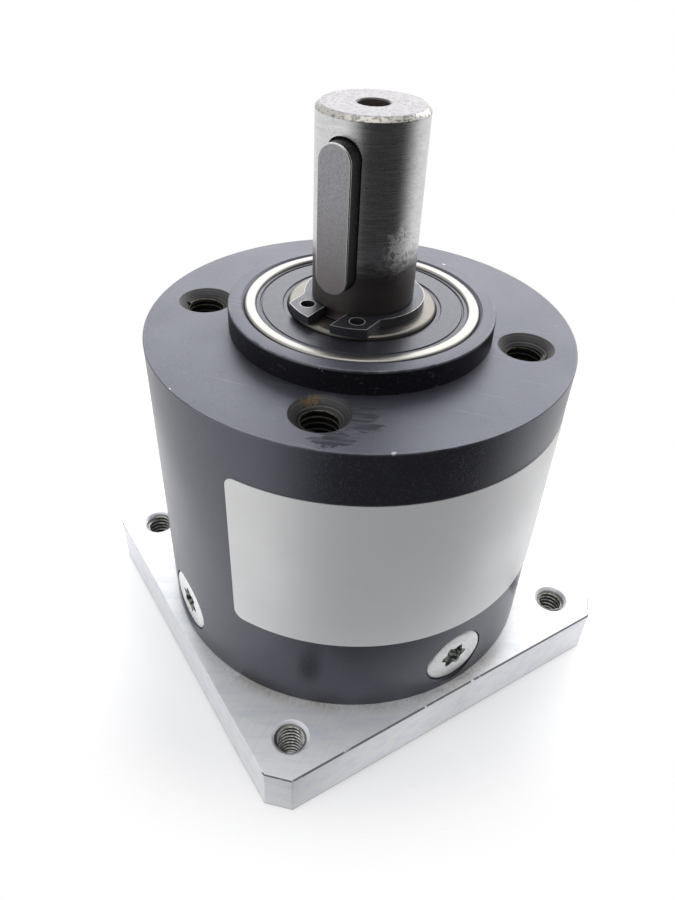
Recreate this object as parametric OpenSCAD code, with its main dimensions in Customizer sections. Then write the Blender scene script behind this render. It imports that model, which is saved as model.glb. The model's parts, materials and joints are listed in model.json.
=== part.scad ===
// Inline planetary gear reducer with a round housing, a square motor plate,
// a keyed output shaft and one 4:1 planetary stage.
// Millimetres. +Z runs along the shaft, the origin is the centre of the
// motor plate's outer face.

/* [Housing] */
// Outer diameter of the round housing
body_d = 52; // [51:0.5:56]
// Length of the housing, from the motor plate to the output flange
body_len = 41.5; // [40:0.5:60]
// Chamfer on the housing's outer edges
body_edge = 0.35; // [0.1:0.05:0.8]
// Diameter of the centring pilot round the output bearing
pilot_d = 32; // [31:0.5:36]
// Height of the pilot above the output flange
pilot_h = 3; // [2:0.25:5]
// Chamfer on the pilot's outer edge
pilot_edge = 0.25; // [0.1:0.05:0.6]
// Lead-in chamfer at the mouth of each bearing seat
seat_lead = 0.4; // [0.2:0.1:0.6]
// Wall of the spacer between the two output bearings' inner rings
spacer_wall = 2.2; // [1.5:0.1:2.4]
// Thickness of the rim between the two output bearings
web_t = 4; // [3:0.5:6]
// Diameter through that rim
web_d = 23; // [20:0.5:25]

/* [Output flange holes] */
// Circle of the tapped flange holes
flange_pcd = 40; // [38:0.5:42]
// Number of flange holes
flange_holes = 4; // [3:1:6]
// Tapping diameter of the flange holes
flange_tap_d = 4.2; // [3.3:0.1:4.5]
// Depth of the flange holes
flange_tap_depth = 12; // [8:1:14]
// Diameter of the countersink at each flange hole
flange_sink_d = 6.3; // [5:0.1:6.8]

/* [Motor plate] */
// Side of the square motor plate
plate_w = 55; // [54:0.5:60]
// Thickness of the motor plate
plate_t = 7; // [6.5:0.5:10]
// Chamfer on the plate's four corners
plate_corner = 2.6; // [1:0.1:4]
// Small chamfer along the plate's long edges
plate_edge = 0.25; // [0.1:0.05:0.5]
// Circle of the motor's fixing holes
motor_pcd = 63; // [61:0.5:66]
// Tapping diameter of the motor's fixing holes
motor_tap_d = 3.3; // [2.5:0.1:4.2]
// Diameter of the countersink at each motor hole
motor_sink_d = 4.6; // [4.3:0.1:5.5]
// Diameter of the recess that centres the motor
motor_pilot_d = 40; // [30:1:42]
// Depth of that recess
motor_pilot_depth = 3; // [2.5:0.1:3.2]
// Length of the spigot that the plate puts into the housing
spigot_len = 10.5; // [10.5:0.25:11]

/* [Radial screws] */
// Number of countersunk screws that join plate and housing
screw_count = 4; // [3:1:6]
// Height of the screws above the motor plate
screw_height = 5.4; // [5:0.1:6]
// Thread diameter
screw_d = 4; // [3:0.5:5]
// Length over the head
screw_len = 8; // [7:0.5:9]
// Head diameter
screw_head_d = 8.3; // [7.5:0.1:9.2]
// Depth of the head below the housing's surface
screw_sunk = 0.25; // [0.1:0.05:0.5]
// Size across the six-lobe drive
drive_d = 3.9; // [3:0.1:4.5]
// Depth of the drive
drive_depth = 1.8; // [1:0.1:2]

/* [Output shaft] */
// Diameter of the output shaft
shaft_d = 12; // [12:0.5:13]
// Reach of the shaft beyond the output flange
shaft_reach = 25; // [24:0.5:40]
// Chamfer at the shaft's end
shaft_edge = 0.5; // [0.2:0.1:1]
// Tapping diameter of the centre hole
centre_tap_d = 3.3; // [2.5:0.1:3.4]
// Depth of the centre hole
centre_tap_depth = 10; // [6:1:14]
// Diameter of the countersink at the centre hole
centre_sink_d = 3.6; // [3.5:0.1:6]
// Width of the key
key_w = 4; // [3:0.5:5]
// Height of the key
key_h = 4; // [3.5:0.25:5]
// Length of the key over its round ends
key_len = 16; // [10:1:18]
// Depth of the keyway
key_seat = 2.5; // [2:0.25:3]
// Distance from the shaft's end to the key
key_setback = 2.3; // [1:0.1:4]
// Direction in which the key points
key_angle = -153; // [-180:1:180]

/* [Output bearings] */
// Outer diameter of the two output bearings
out_brg_d = 28; // [27:0.5:29]
// Width of each
out_brg_w = 8; // [7.5:0.5:9]
// Share of the section from bore to outside that lies between the ball
// circle and the rings' shoulders
out_shoulder_share = 0.145; // [0.12:0.005:0.18]
// Share of the section that the outer ring's wall outside the seals takes
out_wall_share = 0.165; // [0.13:0.005:0.19]
// Ball diameter
out_ball_d = 4.762; // [4:0.1:5]
// Number of balls
out_balls = 8; // [6:1:9]

/* [Input bearing] */
// Bore of the bearing that carries the sun pinion
in_brg_bore = 15; // [15:0.5:16]
// Outer diameter
in_brg_d = 24; // [24:0.5:25]
// Width
in_brg_w = 5; // [4.5:0.25:5]
// Share of the section from bore to outside that lies between the ball
// circle and the rings' shoulders
in_shoulder_share = 0.155; // [0.12:0.005:0.18]
// Share of the section that the outer ring's wall outside the seals takes
in_wall_share = 0.235; // [0.2:0.005:0.26]
// Lip that stops the bearing in the motor plate
in_brg_lip = 1.5; // [1:0.1:2]
// Ball diameter
in_ball_d = 2.381; // [2:0.1:2.6]
// Number of balls
in_balls = 14; // [10:1:16]

/* [Gears] */
// Tooth module
gear_module = 0.75; // [0.7:0.01:0.78]
// Teeth on the sun
sun_teeth = 18; // [18:3:18]
// Teeth on each planet
planet_teeth = 18; // [15:3:18]
// Pressure angle
pressure_angle = 20; // [20:0.5:25]
// Backlash of each mesh, along the pitch circle
backlash = 0.12; // [0.08:0.01:0.2]
// Face width of the planets
planet_face = 6; // [5:0.25:6.5]
// Length of the ring gear past the planets, at each end
ring_extra = 1.2; // [0.5:0.1:1.5]
// Rim outside the ring gear's teeth
ring_rim = 1.8; // [1.5:0.1:2]
// Straight steps in each tooth flank
flank_steps = 3; // [2:1:6]

/* [Planet carrier] */
// Diameter of the planet pins
pin_d = 5; // [4:0.25:5.5]
// Diameter of the needle rollers
needle_d = 1.4; // [1:0.1:1.5]
// Needle rollers in each planet
needles = 13; // [9:1:14]
// Gap between the carrier's back ring and the sun pinion
shank_gap = 0.4; // [0.2:0.05:0.8]
// Depth of the pins in the carrier's front disc
pin_seat = 3.5; // [2:0.25:3.8]
// Thickness of the thrust washers
washer_t = 0.4; // [0.2:0.05:0.6]
// Diameter of the thrust washers
washer_d = 9.6; // [9:0.1:10.5]
// Gap between the carrier and the tips of the ring gear's teeth
carrier_gap = 1.2; // [0.5:0.1:2]
// Thickness of the carrier's front disc
carrier_front_t = 4; // [3:0.25:4.5]
// Thickness of the carrier's back disc
carrier_back_t = 1.5; // [1:0.1:1.8]
// Diameter of the three webs between the discs
carrier_web_d = 9; // [6:0.5:10]

/* [Motor coupling] */
// Bore for the motor shaft
motor_shaft_d = 9; // [6:0.5:9]
// Length of the motor shaft
motor_shaft_len = 20; // [18:0.5:20]
// Diameter of the clamp ring
clamp_d = 24; // [22:0.5:24.5]
// Width of the clamp ring
clamp_w = 3.9; // [3.8:0.1:4.2]
// Thread diameter of the clamp screw
clamp_screw_d = 2; // [2:0.5:2.5]
// Length of its thread
clamp_screw_len = 8; // [6:1:9]
// Diameter of its cylindrical head
clamp_head_d = 3.8; // [3.2:0.1:3.8]
// Height of that head
clamp_head_h = 2; // [1.5:0.1:2.5]
// Size across the head's hexagon socket
clamp_socket = 1.5; // [1:0.25:2]
// Width of the slots in ring and pinion
slot_w = 1.2; // [0.8:0.1:1.6]
// Gap between the clamp ring and its cavity in the plate
clamp_gap = 1; // [0.5:0.1:1.5]
// Diameter of the hex key's access hole in the plate
access_d = 2.2; // [2:0.1:2.4]

/* [Circlips] */
// Thickness of the circlips
clip_t = 1; // [0.8:0.1:1.2]
// Depth of their grooves
clip_seat = 0.25; // [0.2:0.05:0.4]
// Width of a circlip's ring at its back
clip_band = 1.8; // [1.4:0.1:2]
// Diameter of the plier holes
clip_eye_d = 1.7; // [1:0.1:1.8]
// Reach of the lugs outside the shaft
clip_lug = 3.1; // [2.8:0.1:3.4]
// Width of each lug
clip_lug_w = 3.8; // [3:0.1:4.2]
// Gap between the lugs
clip_mouth = 3; // [2:0.1:4]
// Shift of the ring's outer edge away from the lugs
clip_shift = 0.4; // [0.2:0.05:0.5]
// Direction of the output circlip's gap
clip_angle = -156; // [-180:1:180]

/* [Label] */
// Angle at which the wrapped label starts
label_from = -155.5; // [-170:0.5:-150]
// Angle at which it ends
label_to = -34; // [-60:0.5:-20]
// Distance from the motor plate to the label
label_gap = 12.3; // [11:0.1:16]
// Height of the label
label_h = 22.5; // [15:0.5:24]
// Corner radius of the label
label_r = 1.3; // [0.5:0.1:3]
// Thickness of the label
label_t = 0.1; // [0.05:0.01:0.2]

/* [Clearances] */
// Radial play of a fit between turning pieces
run_gap = 0.05; // [0.02:0.01:0.08]
// Radial play of a pressed or slid fit between fixed pieces
seat_gap = 0.02; // [0:0.01:0.05]
// Gap between balls and their races
ball_gap = 0.1; // [0.06:0.01:0.15]
// Axial play beside washers and discs
side_gap = 0.05; // [0.03:0.01:0.1]

/* [Hidden] */
$fn = 96;

eps = 0.01;
planet_count = 3;

// Gear geometry
ring_teeth = sun_teeth + 2 * planet_teeth;
function pitch_r(teeth) = gear_module * teeth / 2;
function tip_r(teeth) = pitch_r(teeth) + gear_module;
function root_r(teeth) = pitch_r(teeth) - 1.25 * gear_module;
ring_tip_r = pitch_r(ring_teeth) - gear_module;
ring_root_r = pitch_r(ring_teeth) + 1.25 * gear_module;
orbit_r = pitch_r(sun_teeth) + pitch_r(planet_teeth);

// Radii
body_r = body_d / 2;
bore_r = ring_root_r + ring_rim;
chamber_r = ring_root_r;
carrier_r = ring_tip_r - carrier_gap;
cavity_r = clamp_d / 2 + clamp_gap;
pilot_r = pilot_d / 2;
shaft_r = shaft_d / 2;
out_brg_r = out_brg_d / 2;
in_brg_r = in_brg_d / 2;
shank_r = in_brg_bore / 2;
out_section = out_brg_r - shaft_r;
in_section = in_brg_r - shank_r;
out_brg_shoulder = out_section * out_shoulder_share;
in_brg_shoulder = in_section * in_shoulder_share;
out_brg_wall = out_section * out_wall_share;
in_brg_wall = in_section * in_wall_share;
pin_r = pin_d / 2;
needle_play = 0.075;
needle_orbit = pin_r + needle_play + needle_d / 2;
planet_bore_r = needle_orbit + needle_d / 2 + needle_play;

// Straight rim at the edge of each radial screw's head
head_rim = 0.3;

// Bearing details: chamfer on the rings, share of the width that each seal's
// seat takes, depth of a seal below the face, rim of the cage beside a pocket
ring_edge = 0.25;
seal_share = 0.15;
seal_inset = 0.3;
cage_rim = 0.2;

// Heights, from the motor side up
body_z = plate_t;
flange_z = body_z + body_len;
pilot_z = flange_z + pilot_h;
shaft_z = flange_z + shaft_reach;
front_brg_z = pilot_z - out_brg_w;
rear_brg_z = front_brg_z - web_t - out_brg_w;
boss_h = 0.6;
carrier_front_z = rear_brg_z - boss_h - carrier_front_t;
planet_top_z = carrier_front_z - washer_t - 2 * side_gap;
planet_z = planet_top_z - planet_face;
carrier_back_top_z = planet_z - washer_t - 2 * side_gap;
carrier_back_z = carrier_back_top_z - carrier_back_t;
ring_z = planet_z - ring_extra;
ring_top_z = planet_top_z + ring_extra;
chamber_top_z = rear_brg_z - boss_h / 3;
spigot_z = plate_t + spigot_len;
screw_z = body_z + screw_height;

// Input side
shoulder_t = 1;
in_brg_play = 1.5;
pinion_step = 1.1;
clamp_play = 0.3;
in_brg_z = spigot_z - in_brg_play - in_brg_w;
cavity_top_z = in_brg_z - shoulder_t;
clamp_z = motor_pilot_depth + clamp_play;
pinion_z = clamp_z;
pinion_collar_z = clamp_z + clamp_w + 2 * clamp_play;
pinion_collar_r = shank_r + pinion_step;
pinion_gear_z = planet_z - 0.3;
pinion_neck_z = pinion_gear_z - 0.5;
pinion_neck_r = root_r(sun_teeth) - 0.2;
pinion_top_z = planet_top_z + 0.1;
motor_bore_z = motor_shaft_len + 0.6;

// Points of one tooth flank, from the radius r0 out to r1, on the side s
function inv(a) = tan(a) * 180 / PI - a;
function flank_turn(teeth, half, r) =
    half + inv(pressure_angle)
        - inv(acos(min(1, pitch_r(teeth) * cos(pressure_angle) / r)));
function polar(r, a) = [r * cos(a), r * sin(a)];
function flank(teeth, half, r0, r1, mid, s) = [
    for (i = [0 : flank_steps])
        let (k = s < 0 ? i : flank_steps - i, r = r0 + (r1 - r0) * k / flank_steps)
            polar(r, mid + s * flank_turn(teeth, half, r))];
function half_tooth(teeth, play) =
    90 / teeth - play / 2 / pitch_r(teeth) * 180 / PI / 2;

// Outline of a spur gear with a tooth at angle 0
function gear_outline(teeth) =
    let (base_r = pitch_r(teeth) * cos(pressure_angle),
         low_r = max(base_r, root_r(teeth)),
         half = half_tooth(teeth, backlash),
         foot = flank_turn(teeth, half, low_r))
    [for (i = [0 : teeth - 1])
        let (mid = 360 * i / teeth)
            each concat(
                root_r(teeth) < low_r ? [polar(root_r(teeth), mid - foot)] : [],
                flank(teeth, half, low_r, tip_r(teeth), mid, -1),
                flank(teeth, half, low_r, tip_r(teeth), mid, 1),
                root_r(teeth) < low_r ? [polar(root_r(teeth), mid + foot)] : [])];

// Outline of the space inside the ring gear, with a tooth at angle 0
function ring_outline() =
    let (half = half_tooth(ring_teeth, -backlash))
    [for (i = [0 : ring_teeth - 1])
        let (mid = 360 * (i + 0.5) / ring_teeth)
            each concat(
                flank(ring_teeth, half, ring_tip_r, ring_root_r, mid, -1),
                flank(ring_teeth, half, ring_tip_r, ring_root_r, mid, 1))];

// A straight tube standing on z
module tube(r_in, r_out, z, h) {
    translate([0, 0, z]) difference() {
        cylinder(r = r_out, h = h);
        translate([0, 0, -1]) cylinder(r = r_in, h = h + 2);
    }
}

// A hole of depth h below z, with a 90 degree countersink of diameter sink_d
module sunk_hole(d, h, sink_d, z) {
    translate([0, 0, z - h]) cylinder(d = d, h = h + eps);
    translate([0, 0, z - (sink_d - d) / 2])
        cylinder(d1 = d, d2 = sink_d + 2 * eps, h = (sink_d - d) / 2 + eps);
}

module on_circle(count, r, first = 0) {
    for (i = [0 : count - 1])
        rotate(first + 360 * i / count) translate([r, 0, 0]) children();
}

module at_screws() {
    for (i = [0 : screw_count - 1])
        rotate(-90 + 360 * i / screw_count) translate([0, 0, screw_z])
            rotate([0, 90, 0]) children();
}

// Bearing pieces. Each stands on z; the races are grooves round the balls.
module race(pitch, ball_d, w) {
    translate([pitch, w / 2]) circle(d = ball_d + 2 * ball_gap);
}

module ring_outer(bore, d, w, shoulder, wall, ball_d, z) {
    pitch = (bore + d) / 4;
    r = d / 2;
    land = pitch + shoulder;
    seat = r - wall;
    seal_w = w * seal_share;
    translate([0, 0, z]) rotate_extrude() difference() {
        polygon([[seat, 0], [r - ring_edge, 0], [r, ring_edge],
            [r, w - ring_edge], [r - ring_edge, w], [seat, w],
            [seat, w - seal_w], [land, w - seal_w], [land, seal_w],
            [seat, seal_w]]);
        race(pitch, ball_d, w);
    }
}

module ring_inner(bore, d, w, shoulder, ball_d, z) {
    pitch = (bore + d) / 4;
    r = bore / 2 + seat_gap;
    land = pitch - shoulder;
    e = ring_edge;
    translate([0, 0, z]) rotate_extrude() difference() {
        polygon([[r + e, 0], [land - e / 2, 0], [land, e / 2],
            [land, w - e / 2], [land - e / 2, w], [r + e, w], [r, w - e], [r, e]]);
        race(pitch, ball_d, w);
    }
}

// Seals on both faces, held in the outer ring
module seals(bore, d, w, shoulder, wall, z) {
    seal_w = w * seal_share;
    for (low = [seal_inset, w - seal_w])
        tube((bore + d) / 4 - shoulder + run_gap, d / 2 - wall - seat_gap,
            z + low, seal_w - seal_inset);
}

// A cage with its balls in open pockets
module ball_set(bore, d, w, ball_d, balls, z) {
    pitch = (bore + d) / 4;
    cage_t = ball_d * 0.3;
    cage_w = ball_d + 2 * ball_gap + 2 * cage_rim;
    translate([0, 0, z + w / 2]) {
        difference() {
            tube(pitch - cage_t / 2, pitch + cage_t / 2, -cage_w / 2, cage_w);
            on_circle(balls, pitch - cage_t) rotate([0, 90, 0])
                cylinder(d = ball_d + 2 * ball_gap, h = 2 * cage_t);
        }
        on_circle(balls, pitch) sphere(d = ball_d);
    }
}

// An external circlip with two lugs, lying on z, its mouth at angle 0. The
// ring's outer edge is shifted away from the lugs, so the ring tapers to them.
module circlip(d, z) {
    inner_r = d / 2 - clip_seat;
    lug_r = d / 2 + clip_lug;
    lug_y = (clip_mouth + clip_lug_w) / 2;
    eye_r = d / 2 + clip_lug * 0.4;
    eye_x = sqrt(eye_r * eye_r - lug_y * lug_y);
    translate([0, 0, z]) linear_extrude(clip_t) difference() {
        union() {
            translate([-clip_shift, 0])
                circle(r = inner_r + clip_band - clip_shift);
            for (s = [-1, 1]) intersection() {
                circle(r = lug_r);
                translate([0, s * lug_y - clip_lug_w / 2])
                    square([lug_r, clip_lug_w]);
            }
        }
        circle(r = inner_r);
        translate([0, -clip_mouth / 2]) square([lug_r + 1, clip_mouth]);
        for (s = [-1, 1]) translate([eye_x, s * lug_y]) circle(d = clip_eye_d);
    }
}

module housing() color("#2c2c31") difference() {
    rotate_extrude() polygon([
        [bore_r + seat_lead, body_z], [body_r - body_edge, body_z],
        [body_r, body_z + body_edge], [body_r, flange_z - body_edge],
        [body_r - body_edge, flange_z], [pilot_r, flange_z],
        [pilot_r, pilot_z - pilot_edge], [pilot_r - pilot_edge, pilot_z],
        [out_brg_r + seat_lead, pilot_z], [out_brg_r, pilot_z - seat_lead],
        [out_brg_r, front_brg_z], [web_d / 2, front_brg_z],
        [web_d / 2, front_brg_z - web_t], [out_brg_r, front_brg_z - web_t],
        [out_brg_r, chamber_top_z], [chamber_r, chamber_top_z],
        [chamber_r, ring_top_z], [bore_r, ring_top_z],
        [bore_r, body_z + seat_lead]]);
    on_circle(flange_holes, flange_pcd / 2, 45)
        sunk_hole(flange_tap_d, flange_tap_depth, flange_sink_d, flange_z);
    at_screws() {
        cylinder(d = screw_d + 0.4, h = body_r + 1);
        translate([0, 0, head_z() - head_rim - screw_head_d / 2 - seat_gap])
            cylinder(r1 = 0, r2 = screw_head_d, h = screw_head_d);
    }
}

// The square motor plate with its spigot, turned from one piece
module motor_adapter() color("#c9cbce") difference() {
    union() {
        intersection() {
            linear_extrude(plate_t) plate_outline();
            plate_edges();
            rotate(90) plate_edges();
        }
        cylinder(r = bore_r - seat_gap, h = spigot_z);
    }
    translate([0, 0, -1]) cylinder(d = motor_pilot_d, h = 1 + motor_pilot_depth);
    cylinder(r = cavity_r, h = cavity_top_z);
    cylinder(r = in_brg_r - in_brg_lip, h = spigot_z + 1);
    translate([0, 0, in_brg_z]) cylinder(r = in_brg_r, h = spigot_len);
    on_circle(4, motor_pcd / 2, 45) {
        translate([0, 0, -1]) cylinder(d = motor_tap_d, h = plate_t + 2);
        sunk_hole(motor_tap_d, plate_t, motor_sink_d, plate_t);
    }
    at_screws() cylinder(d = screw_d + 2 * seat_gap, h = body_r, $fn = 48);
    clamp_screw_place() rotate([-90, 0, 0]) cylinder(d = access_d, h = plate_w);
}

module plate_outline() {
    half = plate_w / 2;
    c = plate_corner;
    polygon([[half, c - half], [half, half - c], [half - c, half],
        [c - half, half], [-half, half - c], [-half, c - half],
        [c - half, -half], [half - c, -half]]);
}

module plate_edges() {
    half = plate_w / 2;
    e = plate_edge;
    rotate([90, 0, 0]) translate([0, 0, -plate_w]) linear_extrude(2 * plate_w)
        polygon([[e - half, 0], [half - e, 0], [half, e], [half, plate_t - e],
            [half - e, plate_t], [e - half, plate_t], [-half, plate_t - e],
            [-half, e]]);
}

module drive_outline() {
    lobes = 6;
    circle(d = drive_d * 0.72);
    on_circle(lobes, drive_d * 0.38) circle(d = drive_d * 0.24);
}

// Distance of the screw heads' faces from the shaft's axis
function head_z() = body_r - screw_sunk;

module radial_screws() color("#b9bcc4") at_screws() {
    cone = (screw_head_d - screw_d) / 2;
    difference() {
        union() {
            translate([0, 0, head_z() - head_rim])
                cylinder(d = screw_head_d, h = head_rim);
            translate([0, 0, head_z() - head_rim - cone])
                cylinder(d1 = screw_d, d2 = screw_head_d, h = cone);
            translate([0, 0, head_z() - screw_len])
                cylinder(d = screw_d, h = screw_len - head_rim);
        }
        translate([0, 0, head_z() - drive_depth])
            linear_extrude(drive_depth + 1) drive_outline();
    }
}

module ring_gear() color("#8f949b") translate([0, 0, ring_z])
    linear_extrude(ring_top_z - ring_z) difference() {
        circle(r = bore_r - seat_gap);
        polygon(ring_outline());
    }

// A foil label wrapped round the housing. Each corner is cut by a cylinder
// that crosses the label's edges at a small angle.
module label() color("#d9dadc") difference() {
    inset = label_r - 0.03;
    rotate(label_from) translate([0, 0, label_z()])
        rotate_extrude(angle = label_to - label_from)
            translate([body_r, 0]) square([label_t, label_h]);
    for (end = [[label_from, 1], [label_to, -1]], top = [-1, 1])
        rotate(end[0] + end[1] * inset / body_r * 180 / PI)
            translate([body_r, 0, label_z() + label_h / 2
                + top * (label_h / 2 - inset)])
            rotate([0, 90, 0]) difference() {
                translate([top > 0 ? -2 * label_r : 0,
                    end[1] > 0 ? -2 * label_r : 0, -1])
                    cube([2 * label_r, 2 * label_r, 2]);
                translate([0, 0, -2]) cylinder(r = label_r, h = 4);
            }
}

function label_z() = body_z + label_gap;

module front_bearing_outer_ring() color("#a9adb3")
    ring_outer(shaft_d, out_brg_d, out_brg_w, out_brg_shoulder, out_brg_wall,
        out_ball_d, front_brg_z);
module rear_bearing_outer_ring() color("#a9adb3")
    ring_outer(shaft_d, out_brg_d, out_brg_w, out_brg_shoulder, out_brg_wall,
        out_ball_d, rear_brg_z);
module input_bearing_outer_ring() color("#a9adb3")
    ring_outer(in_brg_bore, in_brg_d, in_brg_w, in_brg_shoulder, in_brg_wall,
        in_ball_d, in_brg_z);

module front_bearing_inner_ring() color("#b4b8be")
    ring_inner(shaft_d, out_brg_d, out_brg_w, out_brg_shoulder, out_ball_d,
        front_brg_z);
module rear_bearing_inner_ring() color("#b4b8be")
    ring_inner(shaft_d, out_brg_d, out_brg_w, out_brg_shoulder, out_ball_d,
        rear_brg_z);
module input_bearing_inner_ring() color("#b4b8be")
    ring_inner(in_brg_bore, in_brg_d, in_brg_w, in_brg_shoulder, in_ball_d,
        in_brg_z);

module front_bearing_seals() color("#1d1d20")
    seals(shaft_d, out_brg_d, out_brg_w, out_brg_shoulder, out_brg_wall,
        front_brg_z);
module rear_bearing_seals() color("#1d1d20")
    seals(shaft_d, out_brg_d, out_brg_w, out_brg_shoulder, out_brg_wall,
        rear_brg_z);
module input_bearing_seals() color("#1d1d20")
    seals(in_brg_bore, in_brg_d, in_brg_w, in_brg_shoulder, in_brg_wall,
        in_brg_z);

module front_bearing_balls() color("#d0d2d6")
    ball_set(shaft_d, out_brg_d, out_brg_w, out_ball_d, out_balls, front_brg_z);
module rear_bearing_balls() color("#d0d2d6")
    ball_set(shaft_d, out_brg_d, out_brg_w, out_ball_d, out_balls, rear_brg_z);
module input_bearing_balls() color("#d0d2d6")
    ball_set(in_brg_bore, in_brg_d, in_brg_w, in_ball_d, in_balls, in_brg_z);

module bearing_spacer() color("#9aa0a6")
    tube(shaft_r + seat_gap, shaft_r + spacer_wall, rear_brg_z + out_brg_w, web_t);

// Round-ended outline of the key, its middle at the origin
module key_outline(w) {
    square([w, key_len - w], center = true);
    for (s = [-1, 1]) translate([0, s * (key_len - w) / 2]) circle(d = w);
}

module at_key() {
    rotate(key_angle) translate([0, 0, shaft_z - key_setback - key_len / 2])
        rotate([90, 0, 90]) children();
}

module output_shaft() color("#c4c7cc") difference() {
    rotate_extrude() polygon([
        [0, carrier_front_z], [shaft_r - shaft_edge, carrier_front_z],
        [shaft_r, carrier_front_z + shaft_edge], [shaft_r, pilot_z],
        [shaft_r - clip_seat, pilot_z],
        [shaft_r - clip_seat, pilot_z + clip_t + 0.1],
        [shaft_r, pilot_z + clip_t + 0.1], [shaft_r, shaft_z - shaft_edge],
        [shaft_r - shaft_edge, shaft_z], [0, shaft_z]]);
    at_key() translate([0, 0, shaft_r - key_seat])
        linear_extrude(shaft_d) key_outline(key_w);
    sunk_hole(centre_tap_d, centre_tap_depth, centre_sink_d, shaft_z);
}

module shaft_key() color("#a8acb0") at_key()
    translate([0, 0, shaft_r - key_seat]) linear_extrude(key_h)
        key_outline(key_w - 2 * seat_gap);

module shaft_circlip() color("#3a3a3e") rotate(clip_angle)
    circlip(shaft_d, pilot_z);

// Front disc, three webs and a back ring in one piece, pressed on the shaft
module planet_carrier() color("#7d838a") difference() {
    union() {
        translate([0, 0, carrier_front_z])
            cylinder(r = carrier_r, h = carrier_front_t);
        translate([0, 0, carrier_front_z])
            cylinder(r = shaft_r + spacer_wall, h = carrier_front_t + boss_h);
        translate([0, 0, carrier_back_z])
            cylinder(r = carrier_r, h = carrier_back_t);
        on_circle(planet_count, orbit_r, 60) translate([0, 0, carrier_back_z])
            cylinder(d = carrier_web_d, h = carrier_front_z - carrier_back_z + 1);
    }
    translate([0, 0, carrier_front_z - 1])
        cylinder(r = shaft_r + seat_gap, h = carrier_front_t + boss_h + 2);
    translate([0, 0, carrier_back_z - 1])
        cylinder(r = shank_r + shank_gap, h = carrier_back_t + 2);
    on_circle(planet_count, orbit_r) translate([0, 0, carrier_back_z - 1])
        cylinder(r = pin_r + seat_gap, h = rear_brg_z - carrier_back_z);
}

module planet_pins() color("#b6babf")
    on_circle(planet_count, orbit_r) translate([0, 0, carrier_back_z])
        cylinder(r = pin_r, h = carrier_front_z + pin_seat - carrier_back_z);

module planet_washers() color("#b08d4a")
    on_circle(planet_count, orbit_r)
        for (z = [carrier_back_top_z + side_gap, planet_top_z + side_gap])
            tube(pin_r + run_gap, washer_d / 2, z, washer_t);

// Planet number n, counted from 0, turned so that it meshes with the ring gear
module planet_gear(n) color("#9b8f6f")
    rotate(360 * n / planet_count) translate([orbit_r, 0, planet_z])
        rotate(-360 * n / planet_count * ring_teeth / planet_teeth)
            linear_extrude(planet_face) difference() {
                rotate(180 / planet_teeth) polygon(gear_outline(planet_teeth));
                circle(r = planet_bore_r);
            }
module planet_gear_1() planet_gear(0);
module planet_gear_2() planet_gear(1);
module planet_gear_3() planet_gear(2);

module planet_needles(n) color("#d0d2d6")
    rotate(360 * n / planet_count) translate([orbit_r, 0, planet_z + 0.1])
        on_circle(needles, needle_orbit)
            cylinder(d = needle_d, h = planet_face - 0.2, $fn = 24);
module planet_needles_1() planet_needles(0);
module planet_needles_2() planet_needles(1);
module planet_needles_3() planet_needles(2);

// Hollow pinion: clamped on the motor shaft below, toothed above
module sun_pinion() color("#a7a58f") difference() {
    union() {
        rotate_extrude() polygon([
            [0, pinion_z], [shank_r, pinion_z], [shank_r, pinion_collar_z],
            [pinion_collar_r, pinion_collar_z], [pinion_collar_r, in_brg_z],
            [shank_r, in_brg_z], [shank_r, in_brg_z + in_brg_w],
            [shank_r - clip_seat, in_brg_z + in_brg_w],
            [shank_r - clip_seat, in_brg_z + in_brg_w + clip_t + 0.1],
            [shank_r, in_brg_z + in_brg_w + clip_t + 0.1],
            [shank_r, pinion_neck_z], [pinion_neck_r, pinion_neck_z],
            [pinion_neck_r, pinion_gear_z + 1], [0, pinion_gear_z + 1]]);
        translate([0, 0, pinion_gear_z])
            linear_extrude(pinion_top_z - pinion_gear_z)
                rotate(planet_teeth % 2 == 0 ? 0 : 180 / sun_teeth)
                    polygon(gear_outline(sun_teeth));
    }
    translate([0, 0, pinion_z - 1])
        cylinder(d = motor_shaft_d, h = motor_bore_z - pinion_z + 1);
    translate([0, -slot_w / 2, pinion_z - 1])
        cube([in_brg_d, slot_w, pinion_collar_z - pinion_z]);
}

module clamp_screw_place() {
    translate([(shank_r + clamp_d / 2) / 2, 0, clamp_z + clamp_w / 2]) children();
}

// Distance of the clamp screw's head from the slot that it closes
clamp_head_y = clamp_screw_len / 2;

module clamp_ring() color("#8a8f95") difference() {
    tube(shank_r + seat_gap, clamp_d / 2, clamp_z, clamp_w);
    translate([0, -slot_w / 2, clamp_z - 1]) cube([clamp_d, slot_w, clamp_w + 2]);
    clamp_screw_place() rotate([90, 0, 0])
        cylinder(d = clamp_screw_d + 2 * seat_gap, h = clamp_d, center = true);
    clamp_screw_place() translate([-clamp_head_d / 2 - seat_gap, clamp_head_y, -clamp_w])
        cube([clamp_d, clamp_d, 2 * clamp_w]);
}

module clamp_screw() color("#3a3a3e") clamp_screw_place() {
    rotate([90, 0, 0])
        cylinder(d = clamp_screw_d, h = clamp_screw_len, center = true);
    difference() {
        translate([0, clamp_head_y, 0]) rotate([-90, 0, 0])
            cylinder(d = clamp_head_d, h = clamp_head_h);
        translate([0, clamp_head_y + clamp_head_h / 2, 0]) rotate([-90, 0, 0])
            cylinder(d = clamp_socket / cos(30), h = clamp_head_h, $fn = 6);
    }
}

module pinion_circlip() color("#3a3a3e")
    circlip(in_brg_bore, in_brg_z + in_brg_w);

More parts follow.
